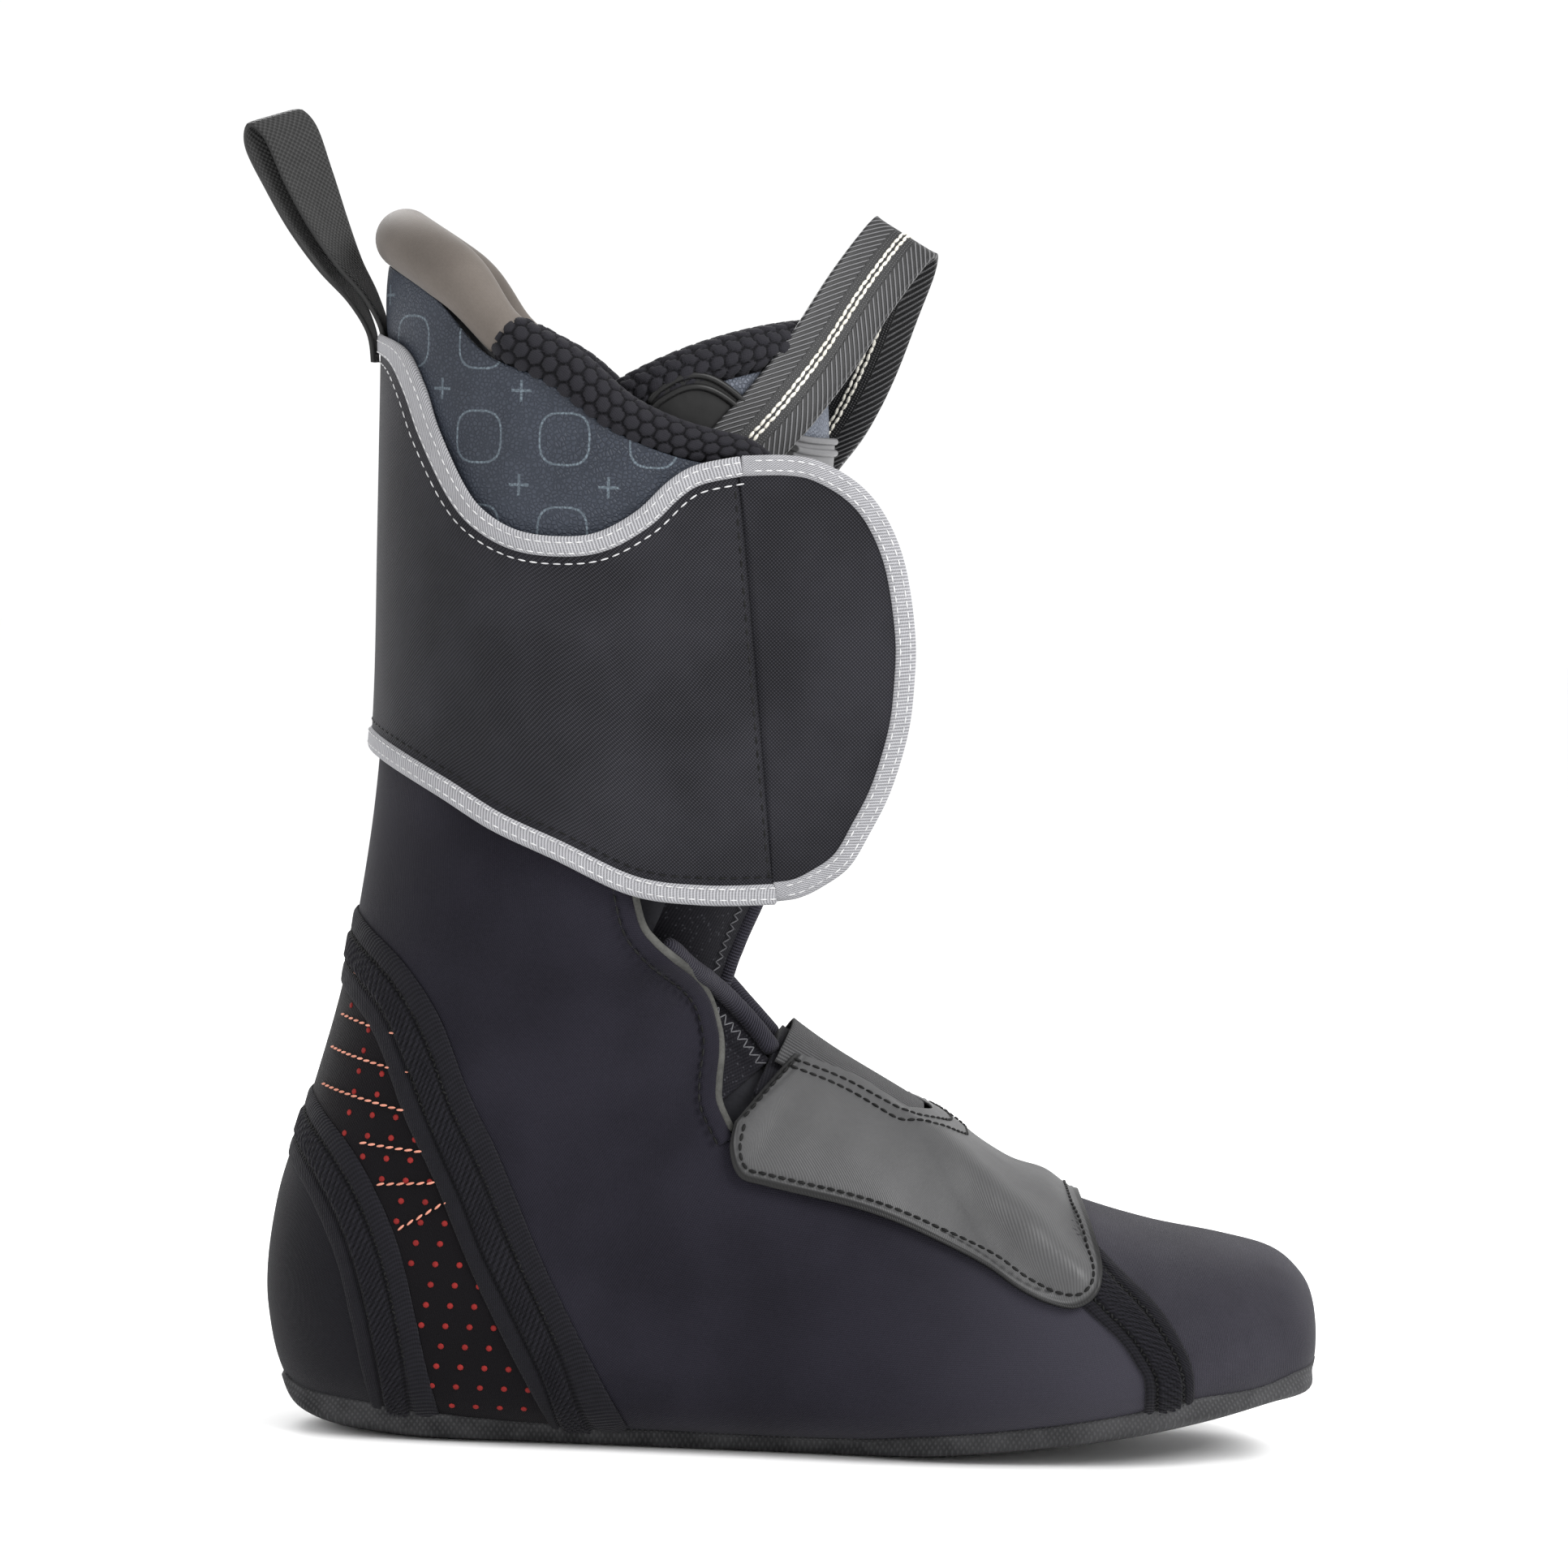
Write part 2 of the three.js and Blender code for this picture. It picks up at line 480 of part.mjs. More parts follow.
function flap(name, outline, side, reachIn) {
  const curve = flat(outline);
  const low = outline[outline.length - 1][1];
  const high = outline[0][1];
  const foot = (t) => {
    const z = lerp(high - reachIn, low + reachIn, t);
    const [x] = foldAt((z - FOLD_LOW[1]) / (FOLD_HIGH[1] - FOLD_LOW[1]));
    return [x + SEAM, z];
  };
  const inset = flat(aside(outline, reachIn > 0 ? -BINDING : 0));
  const place = (edge, t, s) => {
    const p = edge.getPointAt(lerp(0.035, 0.965, t));
    const [x, z] = foot(t);
    return [lerp(x, max(p.x, x + 1), s), lerp(z, p.z, s)];
  };
  add(name + "_flap", slab(20, 5, (t, s, r) =>
    flapPoint(...place(inset, t, s), side, lerp(CUFF_LIFT[0], CUFF_LIFT[1], r))), BALLISTIC);
  const outer = flat(outline);
  const innerEdge = flat(aside(outline, -BINDING + 2 * SEAM));
  add(name + "_flap_binding", slab(30, 1, (t, s, r) => {
    const a = innerEdge.getPointAt(t);
    const b = outer.getPointAt(t);
    const x = lerp(a.x, b.x, s);
    const z = lerp(a.z, b.z, s);
    const [foldX] = foldAt((z - FOLD_LOW[1]) / (FOLD_HIGH[1] - FOLD_LOW[1]));
    return flapPoint(max(x, foldX + SEAM), z, side, lerp(BINDING_LIFT[0], BINDING_LIFT[1], r));
  }), GREY_BINDING);
}
flap("outer", OUTER_FLAP, -1, BINDING);
flap("inner", INNER_FLAP, 1, BINDING);

// ---- The tongue -----------------------------------------------------------------------------

// A point of the tongue: how far round (-1 outer edge, 1 inner edge), how high, and how deep inside.
function onTongue(round, z, depth) {
  const row = TONGUE.findIndex(([height]) => height > z);
  const i = row < 0 ? TONGUE.length - 2 : max(row - 1, 0);
  const place = i + (z - TONGUE[i][0]) / (TONGUE[i + 1][0] - TONGUE[i][0]);
  const [, front, half, deep] = rowAt(TONGUE, place);
  const angle = round * TONGUE_SPREAD;
  return new THREE.Vector3(
    front - deep + (deep - depth) * cos(angle),
    (half - depth) * sin(angle),
    z,
  );
}
const tongueTop = (round) => 286 - 17 * abs(round) ** 2.6;
const tongueSheet = (name, material, spread, low, high, depths, steps) =>
  add(name, slab(steps[0], steps[1], (t, s, r) => {
    const round = lerp(-spread, spread, t);
    return onTongue(round, lerp(low(round), high(round), s), lerp(depths[0], depths[1], r));
  }), material);
tongueSheet("tongue_foam", FOAM, 1, (q) => 116 + 16 * abs(q), (q) => tongueTop(q), [1.6, TONGUE_FOAM], [14, 9]);
tongueSheet("tongue_facing", BLUE_LEATHER, 1, (q) => 150 + 10 * abs(q), (q) => tongueTop(q), [0, 0.7], [18, 7]);
tongueSheet("tongue_neck", STRETCH, 0.93, (q) => 118 + 10 * abs(q), (q) => 149 + 10 * abs(q), [0, 0.7], [18, 2]);
tongueSheet("tongue_lining", BRUSHED, 1, (q) => 118 + 16 * abs(q), (q) => tongueTop(q), [TONGUE_FOAM + 1.1, TONGUE_FOAM + 1.9], [12, 8]);
tongueSheet("tongue_shield", SHIELD, 0.62, (q) => 150 + 6 * abs(q), (q) => 258 + 22 * abs(q) ** 1.4, [-2, -0.5], [14, 7]);
bead("tongue_roll", KNIT, steps(-0.97, 0.97, 20).map((q) => onTongue(q, tongueTop(q) + ROLL + 0.5, TONGUE_FOAM / 2)), ROLL - 0.4, 30);

// ---- The pull loops -------------------------------------------------------------------------

// Rear loop: doubled webbing that stands up from the back of the collar and twists as it rises.
const REAR_PATH = [[-122.5, 292], [-126.5, 299.5], [-132, 308], [-138, 318.5], [-143.5, 330], [-148.5, 341]];
function rearLoop() {
  const rise = REAR_PATH.map(([x, z], i) => [x, z, lerp(0.9, 2.3, i / (REAR_PATH.length - 1))]);
  const out = rise.map(([x, z, apart]) => new THREE.Vector3(x - apart, 0, z - apart * 0.4));
  const home = rise.map(([x, z, apart]) => new THREE.Vector3(x + apart, 0, z + apart * 0.4)).reverse();
  const crown = new THREE.Vector3(-150.4, 0, 345.4);
  const width = 19;
  band("rear_pull_loop", WEBBING, [...out, crown, ...home], (t) => {
    const height = 1 - abs(2 * t - 1);
    const twist = 1.1 * THREE.MathUtils.smoothstep(height, 0, 1);
    return new THREE.Vector3(sin(twist) * 0.94, cos(twist), sin(twist) * 0.34);
  }, width, STRAP - 0.4, 34);
}
rearLoop();

// Tongue loop: one band from the outer side of the tongue, up, over and down to the inner side.
const TONGUE_LOOP = [[-14, -41, 258], [-10, -37.5, 267], [-3, -31, 280], [4.5, -21.5, 297], [12, -12, 311], [17, -4.5, 318.6],
  [18.6, 1, 320], [18, 7, 315], [14.5, 15, 303], [10, 23.5, 287], [5, 31, 272], [1.5, 36, 261]];
band("tongue_pull_loop", WEBBING, TONGUE_LOOP.map((p) => new THREE.Vector3(...p)),
  () => new THREE.Vector3(0.86, 0, -0.5), 17.5, STRAP, 30);

export default boot;
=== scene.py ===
"""The looks of the liner of an alpine ski boot: a padded inner boot in knit-faced neoprene.

Lengths in this script are millimetres until a mesh is finished. +X is the toe, +Y the inner side of the foot, +Z up.
"""

import math

import bmesh
import bpy
import numpy as np
from mathutils import Matrix, Vector


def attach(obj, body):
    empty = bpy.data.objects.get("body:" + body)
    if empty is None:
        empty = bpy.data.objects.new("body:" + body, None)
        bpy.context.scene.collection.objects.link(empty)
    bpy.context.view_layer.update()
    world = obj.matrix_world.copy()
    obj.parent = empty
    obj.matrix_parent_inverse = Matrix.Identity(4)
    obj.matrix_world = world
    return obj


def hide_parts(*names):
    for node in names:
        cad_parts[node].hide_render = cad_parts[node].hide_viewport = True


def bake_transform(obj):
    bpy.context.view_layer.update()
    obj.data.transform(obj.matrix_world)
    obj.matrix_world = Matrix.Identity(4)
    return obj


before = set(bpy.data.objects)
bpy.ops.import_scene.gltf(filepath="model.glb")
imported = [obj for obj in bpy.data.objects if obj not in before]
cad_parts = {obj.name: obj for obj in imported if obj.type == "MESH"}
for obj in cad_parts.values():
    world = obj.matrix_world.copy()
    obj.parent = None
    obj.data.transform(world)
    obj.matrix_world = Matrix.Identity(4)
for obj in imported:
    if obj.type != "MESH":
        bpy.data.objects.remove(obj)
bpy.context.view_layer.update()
MM = 0.001
scene = bpy.context.scene
scene.view_settings.view_transform = "Standard"
scene.view_settings.look = "None"


# ---- Camera, light and floor -----------------------------------------------------------------

LENS, SENSOR = 135, 36
ELEVATION, ROLL = math.radians(3.4), math.radians(1.8)
HALF_VIEW = 0.2078  # half of what the camera sees across, in metres


def camera():
    data = bpy.data.cameras.new("camera")
    data.lens, data.sensor_width = LENS, SENSOR
    data.clip_end = 50
    cam = bpy.data.objects.new("camera", data)
    scene.collection.objects.link(cam)
    scene.camera = cam
    aim = Vector((-0.0107, 0, 0.1745))
    away = Vector((0, -math.cos(ELEVATION), math.sin(ELEVATION)))
    cam.location = aim + away * (HALF_VIEW / (SENSOR / 2 / LENS))
    level = (-away).to_track_quat("-Z", "Y")
    cam.rotation_mode = "QUATERNION"
    cam.rotation_quaternion = level @ Matrix.Rotation(ROLL, 4, "Z").to_quaternion()


def lamp(name, at, target, size, power):
    data = bpy.data.lights.new(name, "AREA")
    data.size, data.energy = size, power
    lit = bpy.data.objects.new(name, data)
    scene.collection.objects.link(lit)
    lit.location = at
    lit.rotation_mode = "QUATERNION"
    lit.rotation_quaternion = (Vector(target) - Vector(at)).to_track_quat("-Z", "Y")


camera()
lamp("key", (1.15, -0.85, 1.25), (0.03, 0, 0.12), 0.9, 36)
lamp("left_fill", (-1.3, -0.9, 0.9), (0, 0, 0.2), 0.8, 5)
lamp("back_rim", (-0.5, 1.2, 1.1), (0, 0, 0.2), 0.8, 12)
world = bpy.data.worlds.new("studio")
world.use_nodes = True
world.node_tree.nodes["Background"].inputs["Color"].default_value = (1, 1, 1, 1)
world.node_tree.nodes["Background"].inputs["Strength"].default_value = 1.04
scene.world = world


# ---- Finishes ----------------------------------------------------------------------------------

class Term:
    """A number that varies over a surface: one socket of a finish, with the operators of arithmetic."""

    def __init__(self, finish, socket):
        self.finish, self.socket = finish, socket

    def math(self, operation, *values):
        return self.finish.node("ShaderNodeMath", {"operation": operation}, dict(enumerate(values)))

    def __add__(self, other):
        return self.math("ADD", self, other)

    def __sub__(self, other):
        return self.math("SUBTRACT", self, other)

    def __rsub__(self, other):
        return self.math("SUBTRACT", other, self)

    def __mul__(self, other):
        return self.math("MULTIPLY", self, other)

    def __pow__(self, other):
        return self.math("POWER", self, other)

    def __abs__(self):
        return self.math("ABSOLUTE", self)

    __radd__ = __add__
    __rmul__ = __mul__

    def over(self, low, high):
        """0 up to low, 1 from high, and a smooth ramp between."""
        return self.finish.node(
            "ShaderNodeMapRange", {"interpolation_type": "SMOOTHSTEP"}, {0: self, 1: low, 2: high, 3: 0.0, 4: 1.0}
        )

    def wave(self, pitch):
        """0 to 1 and back over each pitch."""
        return self.math("SINE", self * (2 * math.pi / pitch)) * 0.5 + 0.5

    def repeat(self, pitch):
        """Distance to the nearest line of a row of lines that far apart."""
        return self.math("PINGPONG", self, pitch / 2)

    def least(self, other):
        return self.math("MINIMUM", self, other)

    def most(self, other):
        return self.math("MAXIMUM", self, other)


class Finish:
    """One material: its node tree, and the ways to read a place on the piece."""

    def __init__(self, name, roughness=0.8, **constants):
        self.material = bpy.data.materials.new(name)
        self.material.use_nodes = True
        self.tree = self.material.node_tree
        self.shader = self.tree.nodes["Principled BSDF"]
        self.shader.inputs["Roughness"].default_value = roughness
        self.shader.inputs["Specular IOR Level"].default_value = 0.1
        for socket, value in constants.items():
            self.shader.inputs[socket.replace("_", " ")].default_value = value

    def node(self, kind, settings=None, values=None, output=0):
        made = self.tree.nodes.new(kind)
        for key, value in (settings or {}).items():
            setattr(made, key, value)
        for key, value in (values or {}).items():
            if isinstance(value, Term):
                self.tree.links.new(value.socket, made.inputs[key])
            else:
                made.inputs[key].default_value = value
        return Term(self, made.outputs[output])

    def cloth(self):
        """Millimetres along and across the piece."""
        split = self.node("ShaderNodeSeparateXYZ", None, {0: self.node("ShaderNodeUVMap", {"uv_map": "cloth"})})
        return split, Term(self, split.socket.node.outputs[1])

    def place(self):
        """The point of the object, in metres."""
        return self.node("ShaderNodeTexCoord", None, None, "Object")

    def axes(self):
        split = self.node("ShaderNodeSeparateXYZ", None, {0: self.place()})
        return [Term(self, split.socket.node.outputs[i]) * 1000.0 for i in range(3)]

    def noise(self, size, detail=3.0):
        return self.node(
            "ShaderNodeTexNoise", None, {"Vector": self.place(), "Scale": 1000.0 / size, "Detail": detail}, "Fac"
        )

    def stored(self, name):
        return self.node("ShaderNodeAttribute", {"attribute_name": name}, None, "Fac")

    def mix(self, share, a, b):
        values = {0: share, 6: a if isinstance(a, Term) else (*a, 1), 7: b if isinstance(b, Term) else (*b, 1)}
        return self.node("ShaderNodeMix", {"data_type": "RGBA"}, values, 2)

    def feed(self, socket, term):
        self.tree.links.new(term.socket, self.shader.inputs[socket])

    def raised(self, height, depth):
        """Bumps that high, in millimetres, from a height of 0 to 1."""
        bump = {"Height": height, "Distance": depth * MM, "Strength": 1.0}
        self.feed("Normal", self.node("ShaderNodeBump", None, bump, "Normal"))

    def cells(self, feature, size, randomness):
        """Distance in cells that are scattered that many to the metre."""
        values = {"Vector": self.place(), "Scale": size, "Randomness": randomness}
        return self.node("ShaderNodeTexVoronoi", {"feature": feature}, values, "Distance")


def toned(finish, dark, light, share):
    finish.feed("Base Color", finish.mix(share, dark, light))


def crossed(u, v, pitch):
    """Dots of a plain weave: threads that cross over and under."""
    return u.wave(pitch) * v.wave(pitch) + (u + pitch / 2).wave(pitch) * (v + pitch / 2).wave(pitch)


def knit_neoprene(name, dark, light, pitch=0.62, front=None):
    """Fine knit; front, if given, is a paler colour painted towards the toe as painted light from the front."""
    f = Finish(name, 0.78, Sheen_Weight=0.07, Sheen_Roughness=0.4)
    u, v = f.cloth()
    ribs = (u + f.noise(4.0) * 0.3).wave(pitch) * 0.6 + (v + f.noise(3.0) * 0.3).wave(pitch * 0.9) * 0.4
    cloudy = f.noise(38.0, 4.0).over(0.3, 0.7)
    cloth = f.mix(ribs * 0.45 + cloudy * 0.4 + f.noise(0.9, 2.0) * 0.25 - 0.1, dark, light)
    # Painted light: the knit is blended to the paler front colour along +X, lighter towards the toe where the lamps
    # fall.
    if front:
        cloth = f.mix(f.axes()[0].over(5.0, 100.0) * 0.62, cloth, front)
    f.feed("Base Color", cloth)
    f.raised(ribs + f.noise(1.4, 3.0) * 0.7, 0.12)
    return f.material


def ballistic_cloth():
    f = Finish("ballistic_cloth", 0.6, Sheen_Weight=0.04, Sheen_Roughness=0.4, Specular_IOR_Level=0.16)
    u, v = f.cloth()
    dots = crossed(u + f.noise(9.0, 2.0) * 0.6, v + f.noise(8.0, 2.0) * 0.6, 0.95)
    worn = f.noise(30.0, 4.0).over(0.35, 0.7)
    toned(f, (0.0022, 0.0021, 0.0036), (0.03, 0.0295, 0.037), dots.over(0.35, 1.0) * 0.75 + worn * 0.25)
    f.feed("Roughness", 0.72 - dots * 0.25)
    f.raised(dots, 0.22)
    return f.material


def grosgrain(name, dark, light, pitch=0.85):
    f = Finish(name, 0.7, Sheen_Weight=0.04)
    u, v = f.cloth()
    ribs = u.wave(pitch)
    fibres = v.wave(0.32) * 0.35
    toned(f, dark, light, ribs * 0.65 + fibres + f.noise(5.0, 3.0) * 0.25 - 0.1)
    f.raised(ribs + fibres, 0.25)
    return f.material


def coated_twill(name, dark, light, shine=0.42):
    f = Finish(name, shine, Coat_Weight=0.05, Coat_Roughness=0.35, Specular_IOR_Level=0.25)
    u, v = f.cloth()
    twill = (u + v).wave(0.9)
    worn = f.noise(34.0, 4.0).over(0.25, 0.8)
    cloth = f.mix(twill * 0.4 + worn * 0.3 + f.noise(2.0, 2.0) * 0.2, dark, light)
    f.feed("Base Color", f.mix(f.stored("relief"), (0.006, 0.006, 0.0062), cloth))
    f.feed("Roughness", f.noise(14.0, 3.0) * 0.25 + (shine - 0.08))
    f.raised(twill * 0.6 + f.noise(1.1, 2.0) * 0.6, 0.07)
    return f.material


def grained_leather(name, dark, light, line=None):
    f = Finish(name, 0.5, Coat_Weight=0.04, Coat_Roughness=0.4, Specular_IOR_Level=0.25)
    grain = f.cells("DISTANCE_TO_EDGE", 900.0, 1.0).over(0.0, 0.28)
    base = f.mix(grain * 0.5 + f.noise(22.0, 3.0).over(0.3, 0.7) * 0.4, dark, light)
    if line:
        u, v = f.cloth()
        pitch = 24.0
        across, up = u.repeat(pitch), v.repeat(pitch)
        bow = ((across ** 3.0) + (up ** 3.0)) ** (1 / 3)
        ring = 1 - abs(bow - 6.6).over(0.12, 0.4)
        along, rise = (u + pitch / 2).repeat(pitch), (v + pitch / 2).repeat(pitch)
        arms = (1 - along.least(rise).over(0.2, 0.5)) * (1 - along.most(rise).over(2.6, 2.9))
        base = f.mix((ring + arms).least(1.0) * (grain * 0.5 + 0.45), base, line)
    f.feed("Base Color", base)
    f.feed("Roughness", 0.62 - grain * 0.18)
    f.raised(grain + f.noise(0.5, 2.0) * 0.2, 0.16)
    return f.material


def open_knit():
    f = Finish("hexagon_knit", 0.85, Sheen_Weight=0.03)
    relief = f.stored("relief")
    u, v = f.cloth()
    yarn = u.wave(0.5) * 0.5 + v.wave(0.55) * 0.5
    share = relief.over(0.1, 0.8) * 0.6 + yarn * 0.3 + f.noise(4.0) * 0.15
    toned(f, (0.0018, 0.0018, 0.0022), (0.0185, 0.018, 0.022), share)
    f.raised(yarn * 0.5 + f.noise(0.7, 2.0) * 0.5, 0.12)
    return f.material


def taupe_stretch():
    f = Finish("taupe_stretch", 0.62, Sheen_Weight=0.15, Sheen_Roughness=0.35)
    x, y, z = f.axes()
    share = f.noise(24.0, 4.0).over(0.25, 0.75) * 0.6 + f.noise(0.6, 2.0) * 0.4
    toned(f, (0.078, 0.067, 0.059), (0.132, 0.115, 0.102), share)
    f.raised(f.noise(0.55, 2.0) * 0.7 + (x + z).wave(0.4) * 0.3, 0.05)
    return f.material


def seam_tape():
    f = Finish("stretch_seam_tape", 0.85, Sheen_Weight=0.04)
    u, v = f.cloth()
    slant = (u + abs(v - 9.0) * 0.5).wave(1.15) * 0.7 + v.wave(0.9) * 0.3
    share = slant * 0.35 + f.stored("relief").over(0.0, 1.0) * 0.42 + f.noise(3.0) * 0.25 - 0.12
    toned(f, (0.0012, 0.0011, 0.0016), (0.0165, 0.0158, 0.0212), share)
    f.raised(slant * 0.7 + f.noise(1.0, 2.0) * 0.3, 0.34)
    return f.material


def plain(name, dark, light, roughness, size=1.2, depth=0.06, **constants):
    f = Finish(name, roughness, **constants)
    toned(f, dark, light, f.noise(size, 3.0) * 0.5 + f.noise(size * 14, 3.0).over(0.3, 0.7) * 0.5)
    f.raised(f.noise(size, 3.0), depth)
    return f.material


def shield_film():
    f = Finish("shield_film", 0.42, Coat_Weight=0.03, Coat_Roughness=0.3, Specular_IOR_Level=0.2)
    x, y, z = f.axes()
    # Painted light and shade: one dark film, painted pale grey across its front (within 28 mm of the middle) as
    # painted light, and near black on its sides as painted shade.
    front = 1 - abs(y).over(27.6, 28.4)
    cloudy = f.noise(3.0, 3.0)
    base = f.mix(cloudy, (0.005, 0.005, 0.005), (0.014, 0.014, 0.014))
    f.feed("Base Color", f.mix(front, base, f.mix(cloudy, (0.10, 0.10, 0.103), (0.135, 0.135, 0.14))))
    f.raised(f.noise(1.4, 3.0), 0.03)
    return f.material


def sole_rubber():
    f = Finish("sole_rubber", 0.75)
    x, y, z = f.axes()
    weave = (x + z + y * 0.5).wave(1.5) * (x - z - y * 0.5).wave(1.5)
    # The x ramp paints the rubber paler towards the toe: painted light from the front.
    share = weave * 0.4 + f.noise(9.0, 4.0).over(0.3, 0.7) * 0.3 + x.over(10.0, 110.0) * 0.35
    toned(f, (0.014, 0.014, 0.015), (0.075, 0.075, 0.078), share)
    f.raised(weave + f.noise(2.0, 3.0) * 0.6, 0.22)
    return f.material


def herringbone():
    f = Finish("herringbone_webbing", 0.5, Sheen_Weight=0.03, Specular_IOR_Level=0.3)
    u, v = f.cloth()
    centre = abs(v - 9.5)
    ribs = (u + centre * 1.5).wave(2.3)
    mesh = u.wave(0.75) * v.wave(0.75)
    open_strip = 1 - centre.over(3.0, 3.5)
    shade = ribs.over(0.4, 0.95) * (1 - open_strip) + mesh.over(0.3, 0.8) * 0.8 * open_strip
    toned(f, (0.002, 0.002, 0.0023), (0.125, 0.125, 0.13), shade * 0.85 + f.noise(2.0, 2.0) * 0.1)
    f.raised(shade, 0.7)
    return f.material


def plain_webbing():
    f = Finish("plain_webbing", 0.6, Sheen_Weight=0.03, Specular_IOR_Level=0.2)
    u, v = f.cloth()
    weave = crossed(u, v, 1.5)
    toned(f, (0.005, 0.005, 0.005), (0.05, 0.05, 0.05), weave * 0.7 + f.noise(3.0, 2.0) * 0.25)
    f.raised(weave, 0.4)
    return f.material


def ribbed(name, dark, light, pitch, depth=0.3, around=False):
    f = Finish(name, 0.75, Sheen_Weight=0.05)
    u, v = f.cloth()
    ribs = (u if around else v).wave(pitch)
    toned(f, dark, light, ribs * 0.6 + (v if around else u).wave(0.5) * 0.2 + f.noise(4.0, 2.0) * 0.2)
    f.raised(ribs + (v if around else u).wave(0.5) * 0.25, depth)
    return f.material


def speckled_stretch():
    f = Finish("speckled_stretch", 0.8, Sheen_Weight=0.04)
    u, v = f.cloth()
    specks = 1 - f.cells("F1", 700.0, 0.9).over(0.08, 0.28)
    toned(f, (0.0055, 0.0052, 0.0075), (0.05, 0.05, 0.058), specks * 0.6 + u.wave(0.9) * 0.12)
    f.raised(u.wave(0.9) * 0.5 + v.wave(0.9) * 0.5, 0.12)
    return f.material


# The front colour is painted light: it makes the knit paler towards the toe.
NEOPRENE = knit_neoprene(
    "knit_neoprene", (0.0043, 0.0038, 0.0067), (0.0165, 0.0152, 0.0228), front=(0.047, 0.045, 0.058)
)
TOE_CLOTH = knit_neoprene("toe_twill", (0.0125, 0.0117, 0.016), (0.04, 0.038, 0.0485), 0.5)
HEEL_CLOTH = knit_neoprene("heel_knit", (0.0026, 0.0024, 0.0038), (0.0082, 0.0078, 0.0108), 0.5)
MESH_PANEL = knit_neoprene("heel_mesh", (0.0012, 0.0008, 0.0013), (0.0035, 0.0027, 0.004), 0.7)
BALLISTIC = ballistic_cloth()
BINDING = grosgrain("grey_grosgrain", (0.145, 0.145, 0.154), (0.48, 0.48, 0.502))
OVERLAY = coated_twill("coated_twill", (0.033, 0.033, 0.0338), (0.077, 0.077, 0.0788))
FACING = grained_leather("blue_grain", (0.013, 0.0165, 0.0245), (0.035, 0.042, 0.058), (0.115, 0.145, 0.17))
TONGUE_FACING = grained_leather("tongue_grain", (0.045, 0.052, 0.068), (0.14, 0.155, 0.19))
KNIT = open_knit()
TAUPE = taupe_stretch()
TAPE = seam_tape()
SOLE = sole_rubber()
HERRINGBONE = herringbone()
WEBBING = plain_webbing()
ELASTIC = ribbed("ribbed_elastic", (0.014, 0.014, 0.0145), (0.085, 0.085, 0.088), 1.3)
ROLLED_EDGE = ribbed("rolled_stretch_edge", (0.006, 0.0055, 0.0085), (0.040, 0.038, 0.052), 0.85, 0.3, around=True)
STRETCH = speckled_stretch()
SHIELD = shield_film()
LINING = plain("brushed_lining", (0.009, 0.009, 0.011), (0.026, 0.026, 0.03), 0.95, 1.4, 0.25, Sheen_Weight=0.05)
FOAM = plain("closed_foam", (0.016, 0.016, 0.018), (0.04, 0.04, 0.044), 0.9, 0.8, 0.12)
CUT_EDGE = plain("cut_edge", (0.02, 0.02, 0.019), (0.105, 0.105, 0.098), 0.9, 0.9, 0.25)
WHITE_THREAD = plain("white_thread", (0.36, 0.36, 0.37), (0.62, 0.62, 0.62), 0.6, 0.5, 0.1)
CREAM_THREAD = plain("cream_thread", (0.5, 0.48, 0.42), (0.75, 0.73, 0.67), 0.6, 0.5, 0.1)
GREY_THREAD = plain("grey_thread", (0.05, 0.05, 0.055), (0.14, 0.14, 0.15), 0.6, 0.5, 0.1)
BLACK_THREAD = plain("black_thread", (0.003, 0.003, 0.003), (0.014, 0.014, 0.014), 0.55, 0.5, 0.1)
SALMON_THREAD = plain("salmon_thread", (0.4, 0.15, 0.10), (0.66, 0.3, 0.22), 0.6, 0.5, 0.1)
RED_DOT = plain("red_backing", (0.11, 0.008, 0.008), (0.24, 0.02, 0.018), 0.6, 0.6, 0.05)


# ---- The skin of the boot ----------------------------------------------------------------------

SOLE_T, WALL, SHAFT_WALL = 2.6, 5.5, 8.5
